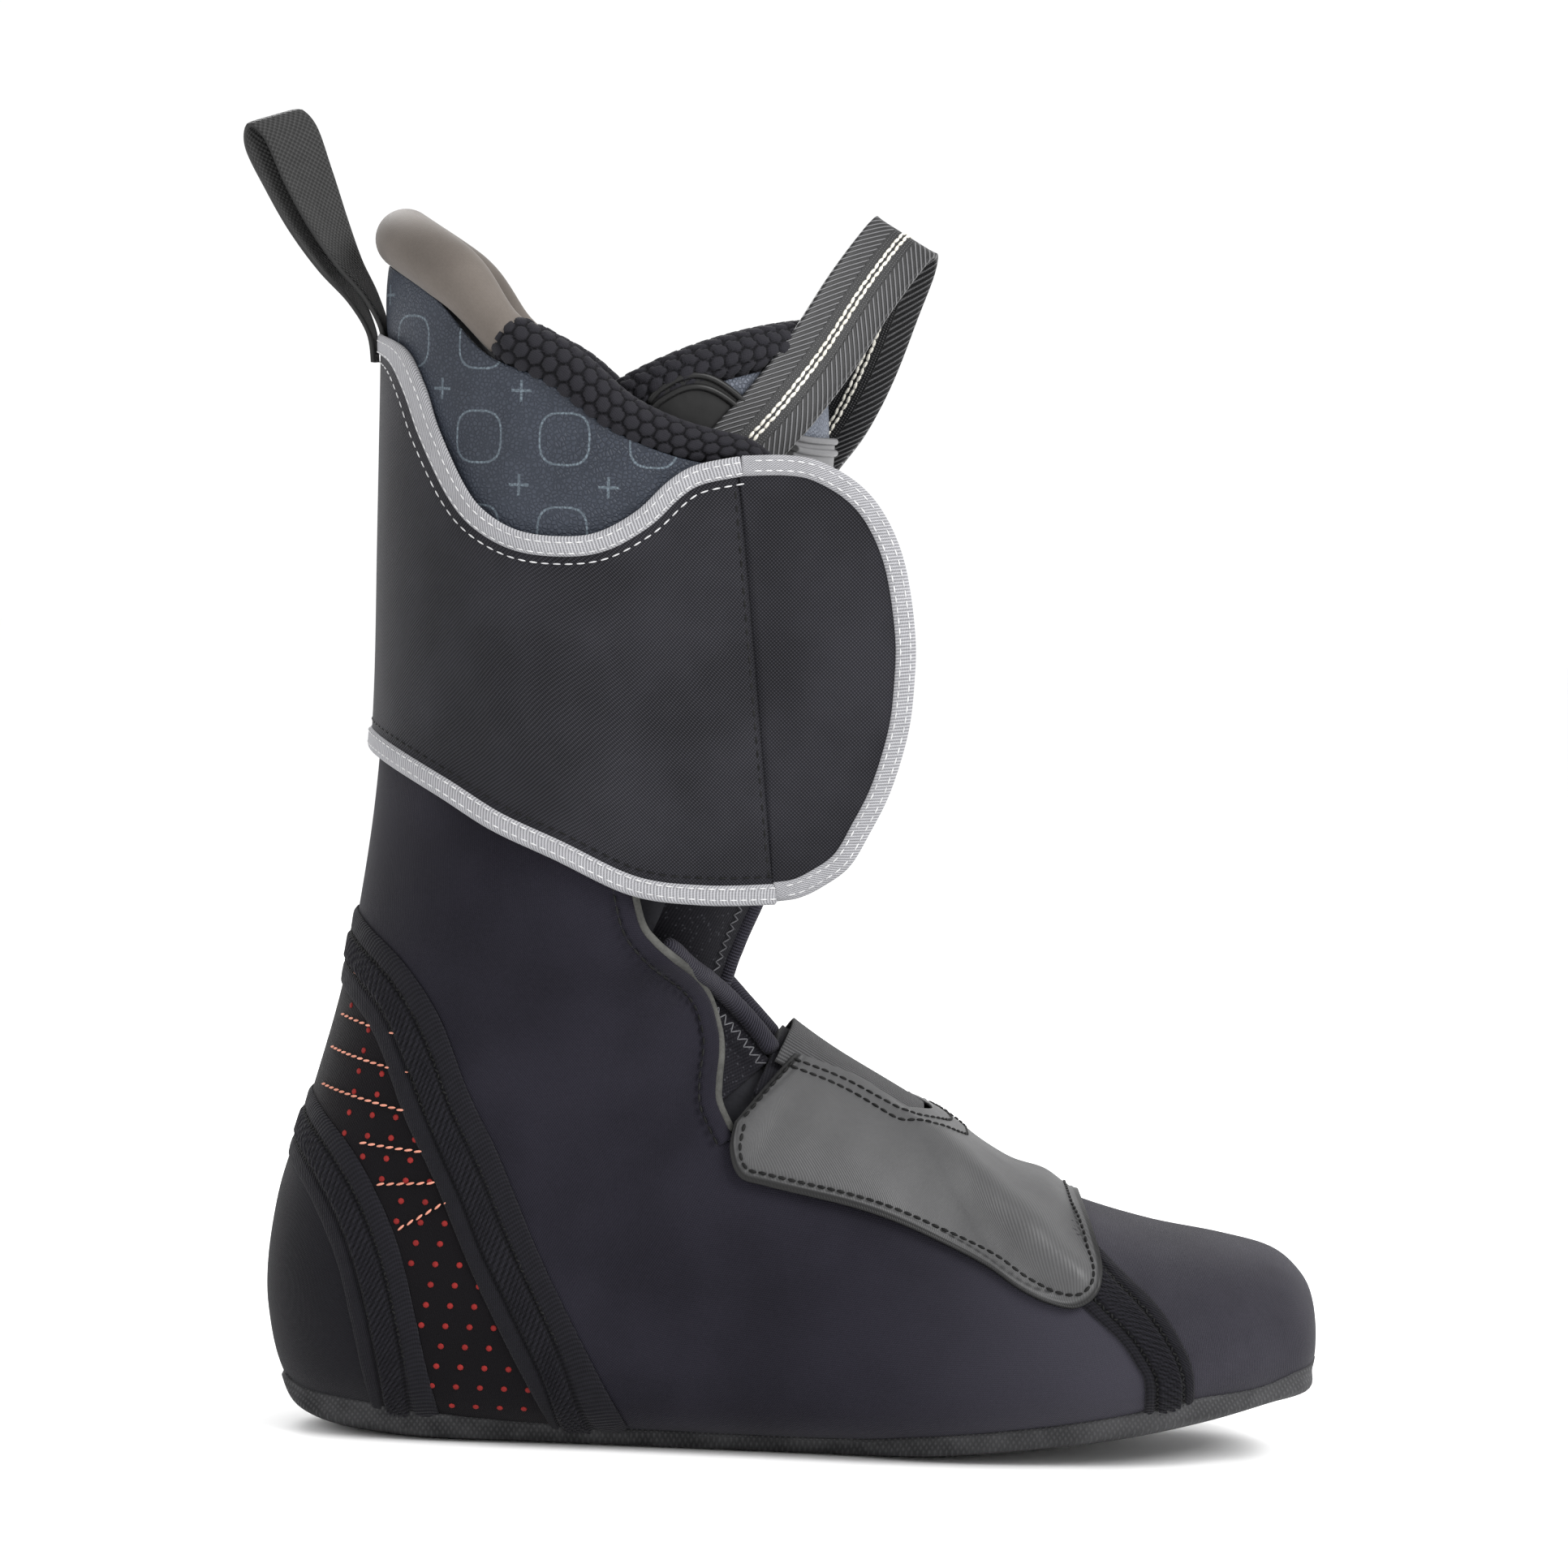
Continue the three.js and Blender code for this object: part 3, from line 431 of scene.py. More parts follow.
# Front point, back point, half width, shift to the big toe, squareness of the front and the back half.
STATIONS = np.array([
    [135, 32, 135, 30, 0.4, 7, 2, 2],
    [134.4, 41, 134.6, 24, 17, 7, 2.1, 2.2],
    [131.5, 47.5, 131, 20, 29, 6.5, 2.2, 2.6],
    [124, 53.5, 121, 17.6, 37, 6, 2.3, 3.0],
    [110, 57, 105, 13.2, 43.5, 5, 2.3, 3.2],
    [90, 60.5, 84, 8.6, 48, 3.5, 2.3, 3.3],
    [68, 67, 60, 5, 50.5, 2, 2.3, 3.3],
    [46, 78, 33, SOLE_T, 49, 1, 2.3, 3.7],
    [24, 91.5, 4, SOLE_T, 45.5, 0, 2.3, 3.9],
    [4, 103, -28, SOLE_T, 42.5, -0.5, 2.3, 3.9],
    [-9, 112, -70, SOLE_T, 40, 0, 2.3, 3.8],
    [-15, 118, -108, SOLE_T, 38.5, 0, 2.3, 3.3],
    [-18, 122.5, -134, 9, 38.5, 0, 2.4, 2.6],
    [-19.5, 126, -143, 32, 39.5, 0, 2.5, 2.3],
    [-19.5, 130, -141.5, 60, 41, 0, 2.6, 2.2],
    [-15, 136, -133.5, 88, 42, 0, 2.8, 2.2],
    [-2, 144.5, -126, 117, 45, 0, 3.4, 2.2],
    [5, 160, -121.5, 144, 47.5, 0, 3.5, 2.2],
    [8, 180, -118.5, 170, 50, 0, 3.5, 2.2],
    [10, 205, -117, 199, 52, 0, 3.5, 2.2],
    [11, 235, -117, 235, 54, 0, 3.5, 2.2],
    [11, 265, -117.5, 270, 55.5, 0, 3.3, 2.2],
    [11, 295, -118.5, 305, 56, 0, 3.3, 2.2],
    [11, 325, -120, 340, 56, 0, 3.3, 2.2],
])
LAST = len(STATIONS) - 1


def lerp(a, b, f):
    return a + (b - a) * f


def smooth(x, low, high):
    f = np.clip((x - low) / (high - low), 0, 1)
    return f * f * (3 - 2 * f)


def unit(ways):
    return ways / np.linalg.norm(ways, axis=-1, keepdims=True)


def run_of(points):
    """How far along a line each of its points lies."""
    return np.concatenate([[0], np.cumsum(np.linalg.norm(np.diff(points, axis=0), axis=1))])


def row_at(rows, place):
    """The row at a place between the rows, on a smooth curve through them."""
    place = np.asarray(place, float)
    i = np.clip(np.floor(place).astype(int), 0, len(rows) - 2)
    f = (place - i)[..., None]
    a, b, c, d = (rows[np.clip(i + k, 0, len(rows) - 1)] for k in (-1, 0, 1, 2))
    return b + f / 2 * (c - a + f * (2 * a - 5 * b + 4 * c - d + f * (3 * (b - c) + d - a)))


def surface(place, angle):
    """The skin itself, at stations and at angles round them from the front."""
    front_x, front_z, back_x, back_z, half, shift, *square = np.moveaxis(row_at(STATIONS, place), -1, 0)
    c, s = np.cos(angle), np.sin(angle)
    square = np.where(c > 0, *square)
    reach = (np.abs(c) ** square + np.abs(s) ** square) ** (-1 / square)
    along = (1 - c * reach) / 2
    return np.stack([lerp(front_x, back_x, along), shift - half * s * reach, lerp(front_z, back_z, along)], -1)


def skin(place, angle, lift=0.0):
    """Points that high off the outer skin, for stations and angles round them."""
    step = 0.02
    p = np.clip(np.asarray(place, float), 0, LAST)
    angle = np.asarray(angle, float)
    up = surface(np.minimum(p + step, LAST), angle) - surface(np.maximum(p - step, 0), angle)
    round_ = surface(p, angle + step) - surface(p, angle - step)
    out = np.cross(up, round_)
    size = np.linalg.norm(out, axis=-1, keepdims=True)
    out = np.where(size > 1e-9, out / np.maximum(size, 1e-9), [1.0, 0, 0])
    out = np.where((p < 0.03)[..., None], [1.0, 0, 0], out)
    return surface(p, angle) + out * np.asarray(lift, float)[..., None]


def lifted(places, lift=0.0):
    return skin(places[..., 0], places[..., 1], lift)


def locate(x, z):
    """The station and angle whose skin shows at x, z from the outer side."""
    x, z = np.broadcast_arrays(np.asarray(x, float), np.asarray(z, float))
    low, high = np.zeros(x.shape), np.full(x.shape, float(LAST))
    for _ in range(36):
        middle = (low + high) / 2
        q = np.moveaxis(row_at(STATIONS, middle), -1, 0)
        before = (q[2] - q[0]) * (z - q[1]) - (q[3] - q[1]) * (x - q[0]) < 0
        low, high = np.where(before, middle, low), np.where(before, high, middle)
    q = np.moveaxis(row_at(STATIONS, low), -1, 0)
    dx, dz = q[2] - q[0], q[3] - q[1]
    across = np.clip(2 * ((x - q[0]) * dx + (z - q[1]) * dz) / (dx * dx + dz * dz) - 1, -1, 1)
    square = np.where(across < 0, q[6], q[7])
    return np.stack([low, np.arctan2((1 - np.abs(across) ** square) ** (1 / square), -across)], -1)


def other(places):
    """The same places on the inner side."""
    return np.stack([places[..., 0], 2 * math.pi - places[..., 1]], -1)


def spline(points, t):
    """A smooth line through points, at shares 0 to 1 of its length."""
    rows = np.array(points, float)
    fine = row_at(rows, np.linspace(0, len(rows) - 1, 40 * len(rows)))
    run = run_of(fine)
    t = np.clip(np.asarray(t, float), 0, 1) * run[-1]
    return np.stack([np.interp(t, run, fine[:, k]) for k in range(rows.shape[1])], -1)


def aside(points, distance):
    """The outline moved sideways, to the left of the way it runs; distance may vary along it."""
    rows = np.array(points, float)
    shares = np.linspace(0, len(rows) - 1, len(rows))
    way = row_at(rows, np.minimum(shares + 0.05, len(rows) - 1)) - row_at(rows, np.maximum(shares - 0.05, 0))
    way = unit(way)
    return rows + np.stack([-way[:, 1], way[:, 0]], -1) * np.asarray(distance, float).reshape(-1, 1)


class Edge:
    """An outline on the skin, evenly spaced, which stops where it reaches the centre line."""

    def __init__(self, points, close=False):
        rows = np.array(points, float)
        if close:
            ahead = rows[-1] - rows[-2]
            rows = np.vstack([rows, rows[-1] + ahead * 14 / np.linalg.norm(ahead)])
        line = spline(rows, np.linspace(0, 1, 500))
        places = locate(line[:, 0], line[:, 1])
        end = [i for i in range(170, 500) if places[i, 1] in (0.0, math.pi) or places[i, 1] < 1e-9]
        if end and close:
            places = places[: end[0] + 1]
        points = lifted(places)
        self.run = run_of(points)
        self.places = places
        self.close = close

    @property
    def length(self):
        return self.run[-1] * (2 if self.close else 1)

    def __call__(self, t):
        t = np.clip(np.asarray(t, float), 0, 1)
        far = self.close & (t > 0.5)
        share = np.where(far, 2 - 2 * t, 2 * t) if self.close else t
        found = np.stack([np.interp(share * self.run[-1], self.run, self.places[:, k]) for k in range(2)], -1)
        return np.where(np.asarray(far)[..., None], other(found), found)


def mirrored(edge):
    return lambda t: other(edge(t))


SIDES = (("outer", lambda edge: edge), ("inner", mirrored))


def between(low, high, first=None, last=None, fade=4):
    """Places between two edges. first and last, if given, bend the two ends of the sheet."""

    def place(t, s):
        straight = lambda a, b: lerp(low(a), high(a), b[..., None])
        found = straight(t, s)
        if first is not None:
            found = found + (first(s) - straight(np.zeros_like(t), s)) * ((1 - t) ** fade)[..., None]
        if last is not None:
            found = found + (last(s) - straight(np.ones_like(t), s)) * (t ** fade)[..., None]
        return found

    return place


# ---- Making pieces -----------------------------------------------------------------------------

def finished(name, bm, material, body, replaced=(), blend=None, solid=0.0, rounded=0, offset=-1):
    mesh = bpy.data.meshes.new(name)
    bm.to_mesh(mesh)
    bm.free()
    mesh.shade_smooth()
    mesh.materials.append(material)
    piece = bpy.data.objects.new(name + "_look" if name in bpy.data.objects else name, mesh)
    scene.collection.objects.link(piece)
    if solid:
        thick = piece.modifiers.new("thickness", "SOLIDIFY")
        thick.thickness, thick.offset = solid * MM, offset
    if rounded:
        soft = piece.modifiers.new("rounding", "SUBSURF")
        soft.levels = soft.render_levels = rounded
    if blend:
        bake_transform(piece)
    else:
        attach(piece, body)
    if replaced:
        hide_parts(*replaced)
    return piece


def laid(cells, place, relief=None, merge=False):
    """A grid of cells laid by place(t, s, lift) in millimetres, with its cloth map and its outside outwards."""
    bm = bmesh.new()
    bmesh.ops.create_grid(bm, x_segments=cells[0], y_segments=cells[1], size=0.5)
    bm.verts.ensure_lookup_table()
    flat = np.array([v.co[:2] for v in bm.verts]) + 0.5
    columns, rows = (len(np.unique(flat[:, axis].round(5))) - 1 for axis in (0, 1))
    index = np.stack([np.rint(flat[:, 1] * rows), np.rint(flat[:, 0] * columns)], 1).astype(int)
    t, s = np.meshgrid(np.linspace(0, 1, columns + 1), np.linspace(0, 1, rows + 1))
    zero = np.zeros_like(t)
    points = place(t, s, zero)
    along, across = zero.copy(), zero.copy()
    along[:, 1:] = np.cumsum(np.linalg.norm(np.diff(points, axis=1), axis=2), 1)
    across[1:] = np.cumsum(np.linalg.norm(np.diff(points, axis=0), axis=2), 0)
    along -= along[:, [columns // 2]]
    raised, moved = None, points
    if relief is not None:
        raised, height = relief(along, across, t, s)
        moved = place(t, s, height)
    out = place(t, s, zero + 0.5) - points
    layer = bm.loops.layers.uv.new("cloth")
    mark = bm.verts.layers.float.new("relief") if raised is not None else None
    for v, (j, i) in zip(bm.verts, index):
        v.co = moved[j, i] * MM
        if mark:
            v[mark] = raised[j, i]
        for loop in v.link_loops:
            loop[layer].uv = (along[j, i], across[j, i])
    bm.normal_update()
    facing = sum(v.normal.dot(Vector(out[j, i])) for v, (j, i) in zip(bm.verts, index))
    if facing < 0:
        bmesh.ops.reverse_faces(bm, faces=bm.faces)
    if merge:
        bmesh.ops.remove_doubles(bm, verts=bm.verts, dist=2e-6)
    return bm


def on_skin(places, base=0.0, profile=None):
    """place(t, s, lift) for a sheet on the skin: base is its height, and profile(t, s) adds to it."""

    def place(t, s, lift):
        found = places(t, s)
        height = base + lift + (profile(t, s) if profile else 0.0)
        return lifted(found, height)

    return place


def crowned(height, power=6):
    return lambda t, s: height * (1 - np.abs(2 * s - 1) ** power)


BATCH = 30  # stitches made at a time
# Gauges of thread: how far apart the stitches are, how long and how thick, in millimetres
ZIGZAG, ZIGZAG_TURN = (1.35, 3.3, 0.42), 1.12
BINDING_GAUGE = (2.7, 2.0, 0.42)


def poured(few, bm):
    """Adds the faces of few, which is freed, to bm: a big mesh grows faster in batches."""
    mesh = bpy.data.meshes.new("batch")
    few.to_mesh(mesh)
    few.free()
    bm.from_mesh(mesh)
    bpy.data.meshes.remove(mesh)


def stitch_row(bm, points, outs, gauge, slant, zigzag):
    """Stitches along a line of points, each lying against the cloth that faces out."""
    pitch, length, width = gauge
    points, outs = np.asarray(points, float), np.asarray(outs, float)
    run = run_of(points)
    count = max(1, int(run[-1] / pitch))
    read = lambda rows, where: Vector([np.interp(where, run, rows[:, c]) for c in range(3)])
    few = bmesh.new()
    for k in range(count):
        middle = (k + 0.5) * run[-1] / count
        out = read(outs, middle).normalized()
        way = (read(points, min(middle + 1, run[-1])) - read(points, max(middle - 1, 0))).normalized()
        side = out.cross(way).normalized()
        turn = slant + (zigzag if k % 2 else -zigzag)
        way = (way * math.cos(turn) + side * math.sin(turn)).normalized()
        side = out.cross(way).normalized()
        size = Matrix.Diagonal((length / 2 * MM, width / 2 * MM, width / 2 * MM, 1))
        place = Matrix.Translation(read(points, middle) * MM) @ Matrix((way, side, out)).transposed().to_4x4() @ size
        place = place @ Matrix.Rotation(math.pi / 2, 4, "Y")
        bmesh.ops.create_uvsphere(few, u_segments=6, v_segments=5, radius=1, matrix=place)
        if (k + 1) % BATCH == 0 or k == count - 1:
            poured(few, bm)
            few = bmesh.new()
    few.free()


def skin_row(edge, lift, samples=160):
    """Points of an edge at that height, and the way out of the skin at each."""
    found = edge(np.linspace(0, 1, samples))
    low = lifted(found, lift)
    return low, lifted(found, lift + 0.5) - low


def thread(name, rows, material, body, gauge, slant=0.0, zigzag=0.0, blend=None):
    """Rows of stitches as one piece; gauge is how far apart, how long and how thick they are."""
    bm = bmesh.new()
    for points, outs in rows:
        stitch_row(bm, points, outs, gauge, slant, zigzag)
    finished(name, bm, material, body, blend=blend)


ANKLE = ("boot", "cuff", (-0.07, 0, 0.09), (-0.07, 0, 0.15))


# ---- Outlines, seen from the outer side ----------------------------------------------------------

SOLE_TOP = [[135.6, 29], [128, 25.5], [118, 21.8], [100, 19.6], [80, 14.6], [55, 10.6], [30, 7.6], [7, 5.6],
            [-43, 5.8], [-75, 7], [-95, 8.4], [-114, 10.6], [-132, 13], [-142, 17]]
TOE_SEAM = [[94.5, 9], [94, 25], [90.5, 33], [85, 40.5], [77, 47.5], [70, 54], [65.5, 61], [63.5, 69.5]]
HEEL_SEAM = [[-104, 4.6], [-108, 20], [-111.5, 35], [-115.5, 50], [-121, 62.5], [-127, 72], [-135.5, 80.5]]
ANKLE_SEAM = [[-53, 3.4], [-63, 22], [-70.5, 36], [-79, 53], [-88.5, 75], [-97, 92], [-104.5, 110],
              [-113, 121.5], [-123.5, 130]]
THROAT = [[-21, 84], [-25.5, 92.5], [-26, 98], [-25.5, 105.5], [-26, 111], [-28.5, 119], [-32.5, 125], [-38, 130],
          [-43, 134.5], [-47, 140], [-50, 152]]
OVERLAY_EDGE = [[-20.8, 87.6], [-21.7, 80.7], [-19, 74.3], [-12, 72.2], [8.4, 68], [21.4, 64.2], [34.3, 59],
                [46.1, 53.5], [54.7, 48.2], [62.7, 44.8], [69.2, 43.9], [74, 47], [75.2, 52.5], [73.5, 59],
                [71, 65], [68.8, 69]]
SLOT_EDGE = [[-6.5, 103.6], [2, 100.3], [10, 96.9], [17, 93], [22.5, 89.8], [26.8, 88.6]]
CUFF_BOTTOM = [[-13, 146.4], [-31, 145.6], [-49.5, 147.6], [-69.5, 156.4], [-85, 163], [-99, 171], [-118.5, 181]]
CUFF_TOP = [[-24.8, 261.5], [-36, 258.8], [-43, 254.3], [-50.5, 246.8], [-60, 241.1], [-69, 239.7], [-79.4, 240.7],
            [-87.7, 245], [-93.3, 251.5], [-100.5, 265.6], [-104.7, 276.5], [-110.4, 286.5], [-119, 291]]
RIM = [[-25, 261.5], [-41, 264.5], [-56, 270.5], [-71, 281.5], [-87, 290], [-101, 304], [-119, 315]]
FOLD_LOW, FOLD_HIGH = (-12.6, 147.0), (-24.8, 257.5)
OUTER_FLAP = [[-24.3, 261.5], [-12, 262], [-3, 260.3], [7, 254.5], [14, 246], [19, 234], [22, 217], [22.2, 204],
              [21, 191], [17, 176], [12, 165], [7, 156], [0, 150.4], [-6, 147.3], [-12, 146.2]]
INNER_FLAP = [[-23, 247], [-14, 246.5], [-6, 243], [2, 235], [7, 222], [9, 206], [8, 190], [5, 175], [0, 163],
              [-5, 155], [-12.5, 150]]
WING_FREE = [[-39, 134.4], [-35, 131.2], [-27.5, 125.8], [-21.3, 120.4], [-15, 114], [-9, 107]]
CUFF_TOP_LIFT = 2.6
BOUND = 5.8  # width of the grey binding
UNDER_OVERLAY = 2.2  # height on the skin at which the creases of the instep overlay are read


# ---- The foot ------------------------------------------------------------------------------------

def upper():
    """The neoprene of the whole foot and ankle, one skin under the tapes and panels."""
    front = [[65, 66], [52, 69], [34, 75], [14, 80], [-6, 83]] + THROAT + [[-50, 187]]
    seam = Edge([[65, 66]] + TOE_SEAM[-2::-1], close=True)
    top = Edge([[-50, 187], [-75, 188], [-100, 190], [-119, 191]], close=True)
    edge = Edge(front)
    places = between(edge, mirrored(edge), seam, top)
    bm = laid((190, 130), on_skin(places))
    finished("neoprene_upper", bm, NEOPRENE, None, ["outer_quarter", "inner_quarter", "ankle_wrap"],
                    blend=ANKLE, solid=4.2)


def toe_box():
    seam = Edge([[64, 69]] + TOE_SEAM[-2::-1], close=True)(np.linspace(0, 1, 400))

    def places(t, s):
        angle = 2 * math.pi * s * (t > 0)
        reach = np.interp(angle, seam[:, 1], seam[:, 0])
        return np.stack([reach * t ** 0.9, angle], -1)

    bm = laid((40, 110), on_skin(places, 0.15), merge=True)
    finished("toe_box", bm, TOE_CLOTH, "boot", ["toe_box"])


def sole():
    rim = Edge([[134.7, 27.2]] + SOLE_TOP[1:-2] + [[-131, 12.4], [-137.0, 15.0]])

    def place(t, s, lift):
        found = rim(t)
        angle = lerp(found[..., 1], 2 * math.pi - found[..., 1], s)
        girth = np.linalg.norm(lifted(found) - lifted(other(found)), axis=-1)
        edge = smooth(np.minimum(s, 1 - s) * girth, 0, 6)
        lip = lerp(0.35, 1.0, smooth(t, 0, 0.1))
        facing = skin(found[..., 0], angle, 1.0) - skin(found[..., 0], angle)
        down = smooth(-facing[..., 2], 0.3, 0.85)
        p = skin(found[..., 0], angle, lip + (SOLE_T + 0.7 - lip) * edge * down + lift)
        under = np.maximum(row_at(STATIONS, np.minimum(found[..., 0], 11))[..., 3] - SOLE_T, 0)
        p[..., 2] = np.maximum(p[..., 2], under)
        return p

    bm = laid((170, 90), place, merge=True)
    finished("sole", bm, SOLE, "boot", ["sole"], solid=1.6)


def heel():
    low = Edge([[-104, 4.9], [-120, 6.5], [-133, 10.5], [-142, 17]], close=True)
    bm = laid((90, 50), on_skin(between(low, Edge(HEEL_SEAM, close=True)), 0.5))
    finished("heel_counter", bm, HEEL_CLOTH, "boot", ["heel_counter"], solid=0.7)
    panel = between(Edge(HEEL_SEAM, close=True), Edge(ANKLE_SEAM, close=True))
    finished("perforated_heel_panel", laid((130, 40), on_skin(panel, 0.3)), MESH_PANEL, None,
             ["perforated_heel_panel"], blend=ANKLE, solid=0.5)


def tape(name, points, before, after, node, blend=None):
    """A stretch tape over a seam, with two pairs of stitch grooves pressed into it."""
    near, far = Edge(aside(points, before), close=True), Edge(aside(points, -after), close=True)
    width = before + after

    def relief(along, across, t, s):
        v = across / np.maximum(across[-1:], 1e-6) * width
        centre = np.abs(v - width / 2)
        groove = np.exp(-(((centre - 3.4) / 0.6) ** 2))
        band = 1 - smooth(centre, 2.6, 3.2)
        ladder = band * (0.5 + 0.5 * np.sin(along * 2 * math.pi / 1.9 + 1.5 * np.sin(along * 0.3)))
        shade = 0.5 - 0.5 * groove + band * (0.9 * ladder - 0.45)
        return shade, 0.55 * ladder - 0.5 * groove + 0.05 * np.sin(along * 0.9 + v)

    bm = laid((int(near.length / 0.6), 36), on_skin(between(near, far), 0.5, crowned(0.7, 14)), relief)
    finished(name, bm, TAPE, "boot", [node], blend=blend, solid=0.7)
    rows = []
    for share in (width / 2 - 3.4, width / 2 + 3.4):
        rows.append(skin_row(Edge(aside(points, before - share), close=True), 0.85, samples=300))
    thread(name + "_stitches", rows, BLACK_THREAD, "boot", (1.5, 1.5, 0.75), zigzag=0.7, blend=blend)


def heel_details():
    """Salmon rows and small red holes on the heel panel, on both sides."""
    lines = [[(-121.5, 122.5), (-115.5, 120.5)], [(-124.5, 111.3), (-109.3, 108.2)], [(-127, 102.5), (-105.4, 98.5)],
             [(-129, 92.8), (-101.5, 87.8)], [(-118, 79.6), (-98.6, 78.2)], [(-113.3, 69.2), (-95, 70.7)]]
    slash = [(-107.6, 57.5), (-93.5, 66.5)]
    rows = []
    for line in lines + [slash]:
        edge = Edge(np.array([lerp(np.array(line[0], float), np.array(line[1], float), k / 5) for k in range(6)]))
        for side in (edge, mirrored(edge)):
            rows.append(skin_row(side, 0.75))
    thread("salmon_heel_stitches", rows, SALMON_THREAD, None, (2.5, 2.3, 0.68), slant=0.22, blend=ANKLE)
    heel_line, ankle_line = spline(HEEL_SEAM, np.linspace(0, 1, 200)), spline(ANKLE_SEAM, np.linspace(0, 1, 200))
    bm = bmesh.new()
    pitch = 6.3
    for j in range(22):
        z = 11 + j * pitch * 0.86
        back = np.interp(z, heel_line[:, 1], heel_line[:, 0]) if z < 80 else -132
        left, right = back + 9.5, np.interp(z, ankle_line[:, 1], ankle_line[:, 0]) - 9.8
        for i in range(-26, 10):
            x = i * pitch + (pitch / 2 if j % 2 else 0) - z * 0.38
            if left < x < right and z < 118:
                for found in [locate(x, z)] + [other(locate(x, z))]:
                    low, high = (lifted(found, h) for h in (0.32, 1.0))
                    turn = Vector(high - low).to_track_quat("Z", "Y").to_matrix().to_4x4()
                    size = Matrix.Diagonal((0.85 * MM, 0.85 * MM, 0.3 * MM, 1))
                    place = Matrix.Translation(Vector(low * MM)) @ turn @ size
                    bmesh.ops.create_uvsphere(bm, u_segments=8, v_segments=4, radius=1, matrix=place)
    finished("red_heel_holes", bm, RED_DOT, None, blend=ANKLE)


def tubular(points, radius, up=(0, 0, 1)):
    """place(t, s, lift) for a round tube along points; radius(t) closes it at its ends."""

    def place(t, s, lift):
        centre = spline(points, t)
        ahead, behind = spline(points, np.minimum(t + 0.004, 1)), spline(points, np.maximum(t - 0.004, 0))
        way = unit(ahead - behind)
        side = unit(np.cross(way, np.asarray(up, float)))
        high = np.cross(side, way)
        r = (radius(t) + lift * np.minimum(radius(t), 1))[..., None]
        turn = (2 * math.pi * s)[..., None]
        return centre + r * (np.cos(turn) * side + np.sin(turn) * high)

    return place


def round_ends(size, length):
    """A radius that stays at size (or size(t)) and closes to a dome at both ends of a tube that long."""
    def radius(t):
        full = size(t) if callable(size) else size + 0.0 * t
        near = np.minimum(t, 1 - t) * length / np.maximum(full, 1e-6)
        return full * np.sqrt(np.maximum(1 - np.clip(1 - near, 0, 1) ** 2, 0))

    return radius


def bead(name, points, size, material, body, cells, replaced=(), blend=None, up=(0, 0, 1)):
    """A round cord or edge along points, closed at both ends."""
    points = np.asarray(points, float)
    bm = laid(cells, tubular(points, round_ends(size, run_of(points)[-1]), up), merge=True)
    finished(name, bm, material, body, replaced, blend=blend)


def throat():
    for side, turn in SIDES:
        near, far = Edge(aside(THROAT, -0.2)), Edge(aside(THROAT, 4.6))
        bm = laid((110, 16), on_skin(between(turn(near), turn(far)), 0.0, crowned(0.8, 3)))
        finished(side + "_throat_band", bm, NEOPRENE, None, [side + "_throat_piping"], blend=ANKLE,
                 solid=0.6)
        line = turn(Edge(aside(THROAT, 4.4)))
        thread(side + "_throat_stitches", [skin_row(line, 0.95)], BLACK_THREAD, None,
               (3.0, 2.3, 0.7), blend=ANKLE)
        found = turn(Edge(aside(THROAT, -0.6)))(np.linspace(0.02, 1, 60))
        points = lifted(found, -0.9)
        bead(side + "_throat_cut_edge", points, 1.25, CUT_EDGE, None, blend=ANKLE, cells=(150, 10))


def wings():
    root = aside(THROAT, 1.5)[1:-1][::-1]
    for side, turn in SIDES:
        edge, free = Edge(root), Edge(aside(WING_FREE, -3.0))
        sag = lambda t, s: -1.6 * np.sin(math.pi * s) - 1.2
        bm = laid((70, 36), on_skin(between(turn(edge), turn(free)), -1.6, sag))
        finished(side + "_wing", bm, STRETCH, None, [side + "_wing"], blend=ANKLE, solid=1.0)
        found = turn(Edge(aside(WING_FREE, -1.8)))(np.linspace(0, 1, 50))
        points = lifted(found, -1.2 - 3.2 * (1 - smooth(np.linspace(0, 1, 50), 0.05, 0.4)))
        bead(side + "_wing_rolled_edge", points, 2.5, ROLLED_EDGE, None, (90, 22),
             [side + "_wing_edge"], ANKLE)
        line = turn(Edge(aside(WING_FREE, -6.3)))
        thread(side + "_wing_zigzag", [skin_row(line, -1.2)], GREY_THREAD, None, ZIGZAG,
               zigzag=ZIGZAG_TURN, blend=ANKLE)


def folds(points):
    """Height of the creases that the instep saddle has from being pulled over the foot."""
    x, z = points[..., 0], points[..., 2]
    line = np.abs((z - 87) + (x - 28) * 39 / 46) / 1.31
    ridge = 2.5 * np.exp(-((line / 4.5) ** 2)) * smooth(x, 10, 34)
    dip = -1.6 * np.exp(-(((line - 10) / 6) ** 2)) * smooth(x, 0, 30)
    bump = 2.3 * np.exp(-(((x - 62) / 7) ** 2)) * smooth(z, 58, 72)
    wave = 0.1 * np.sin(x * 0.16 + z * 0.21) + 0.05 * np.sin(x * 0.45 - z * 0.2 + 1)
    return ridge + dip + bump + wave


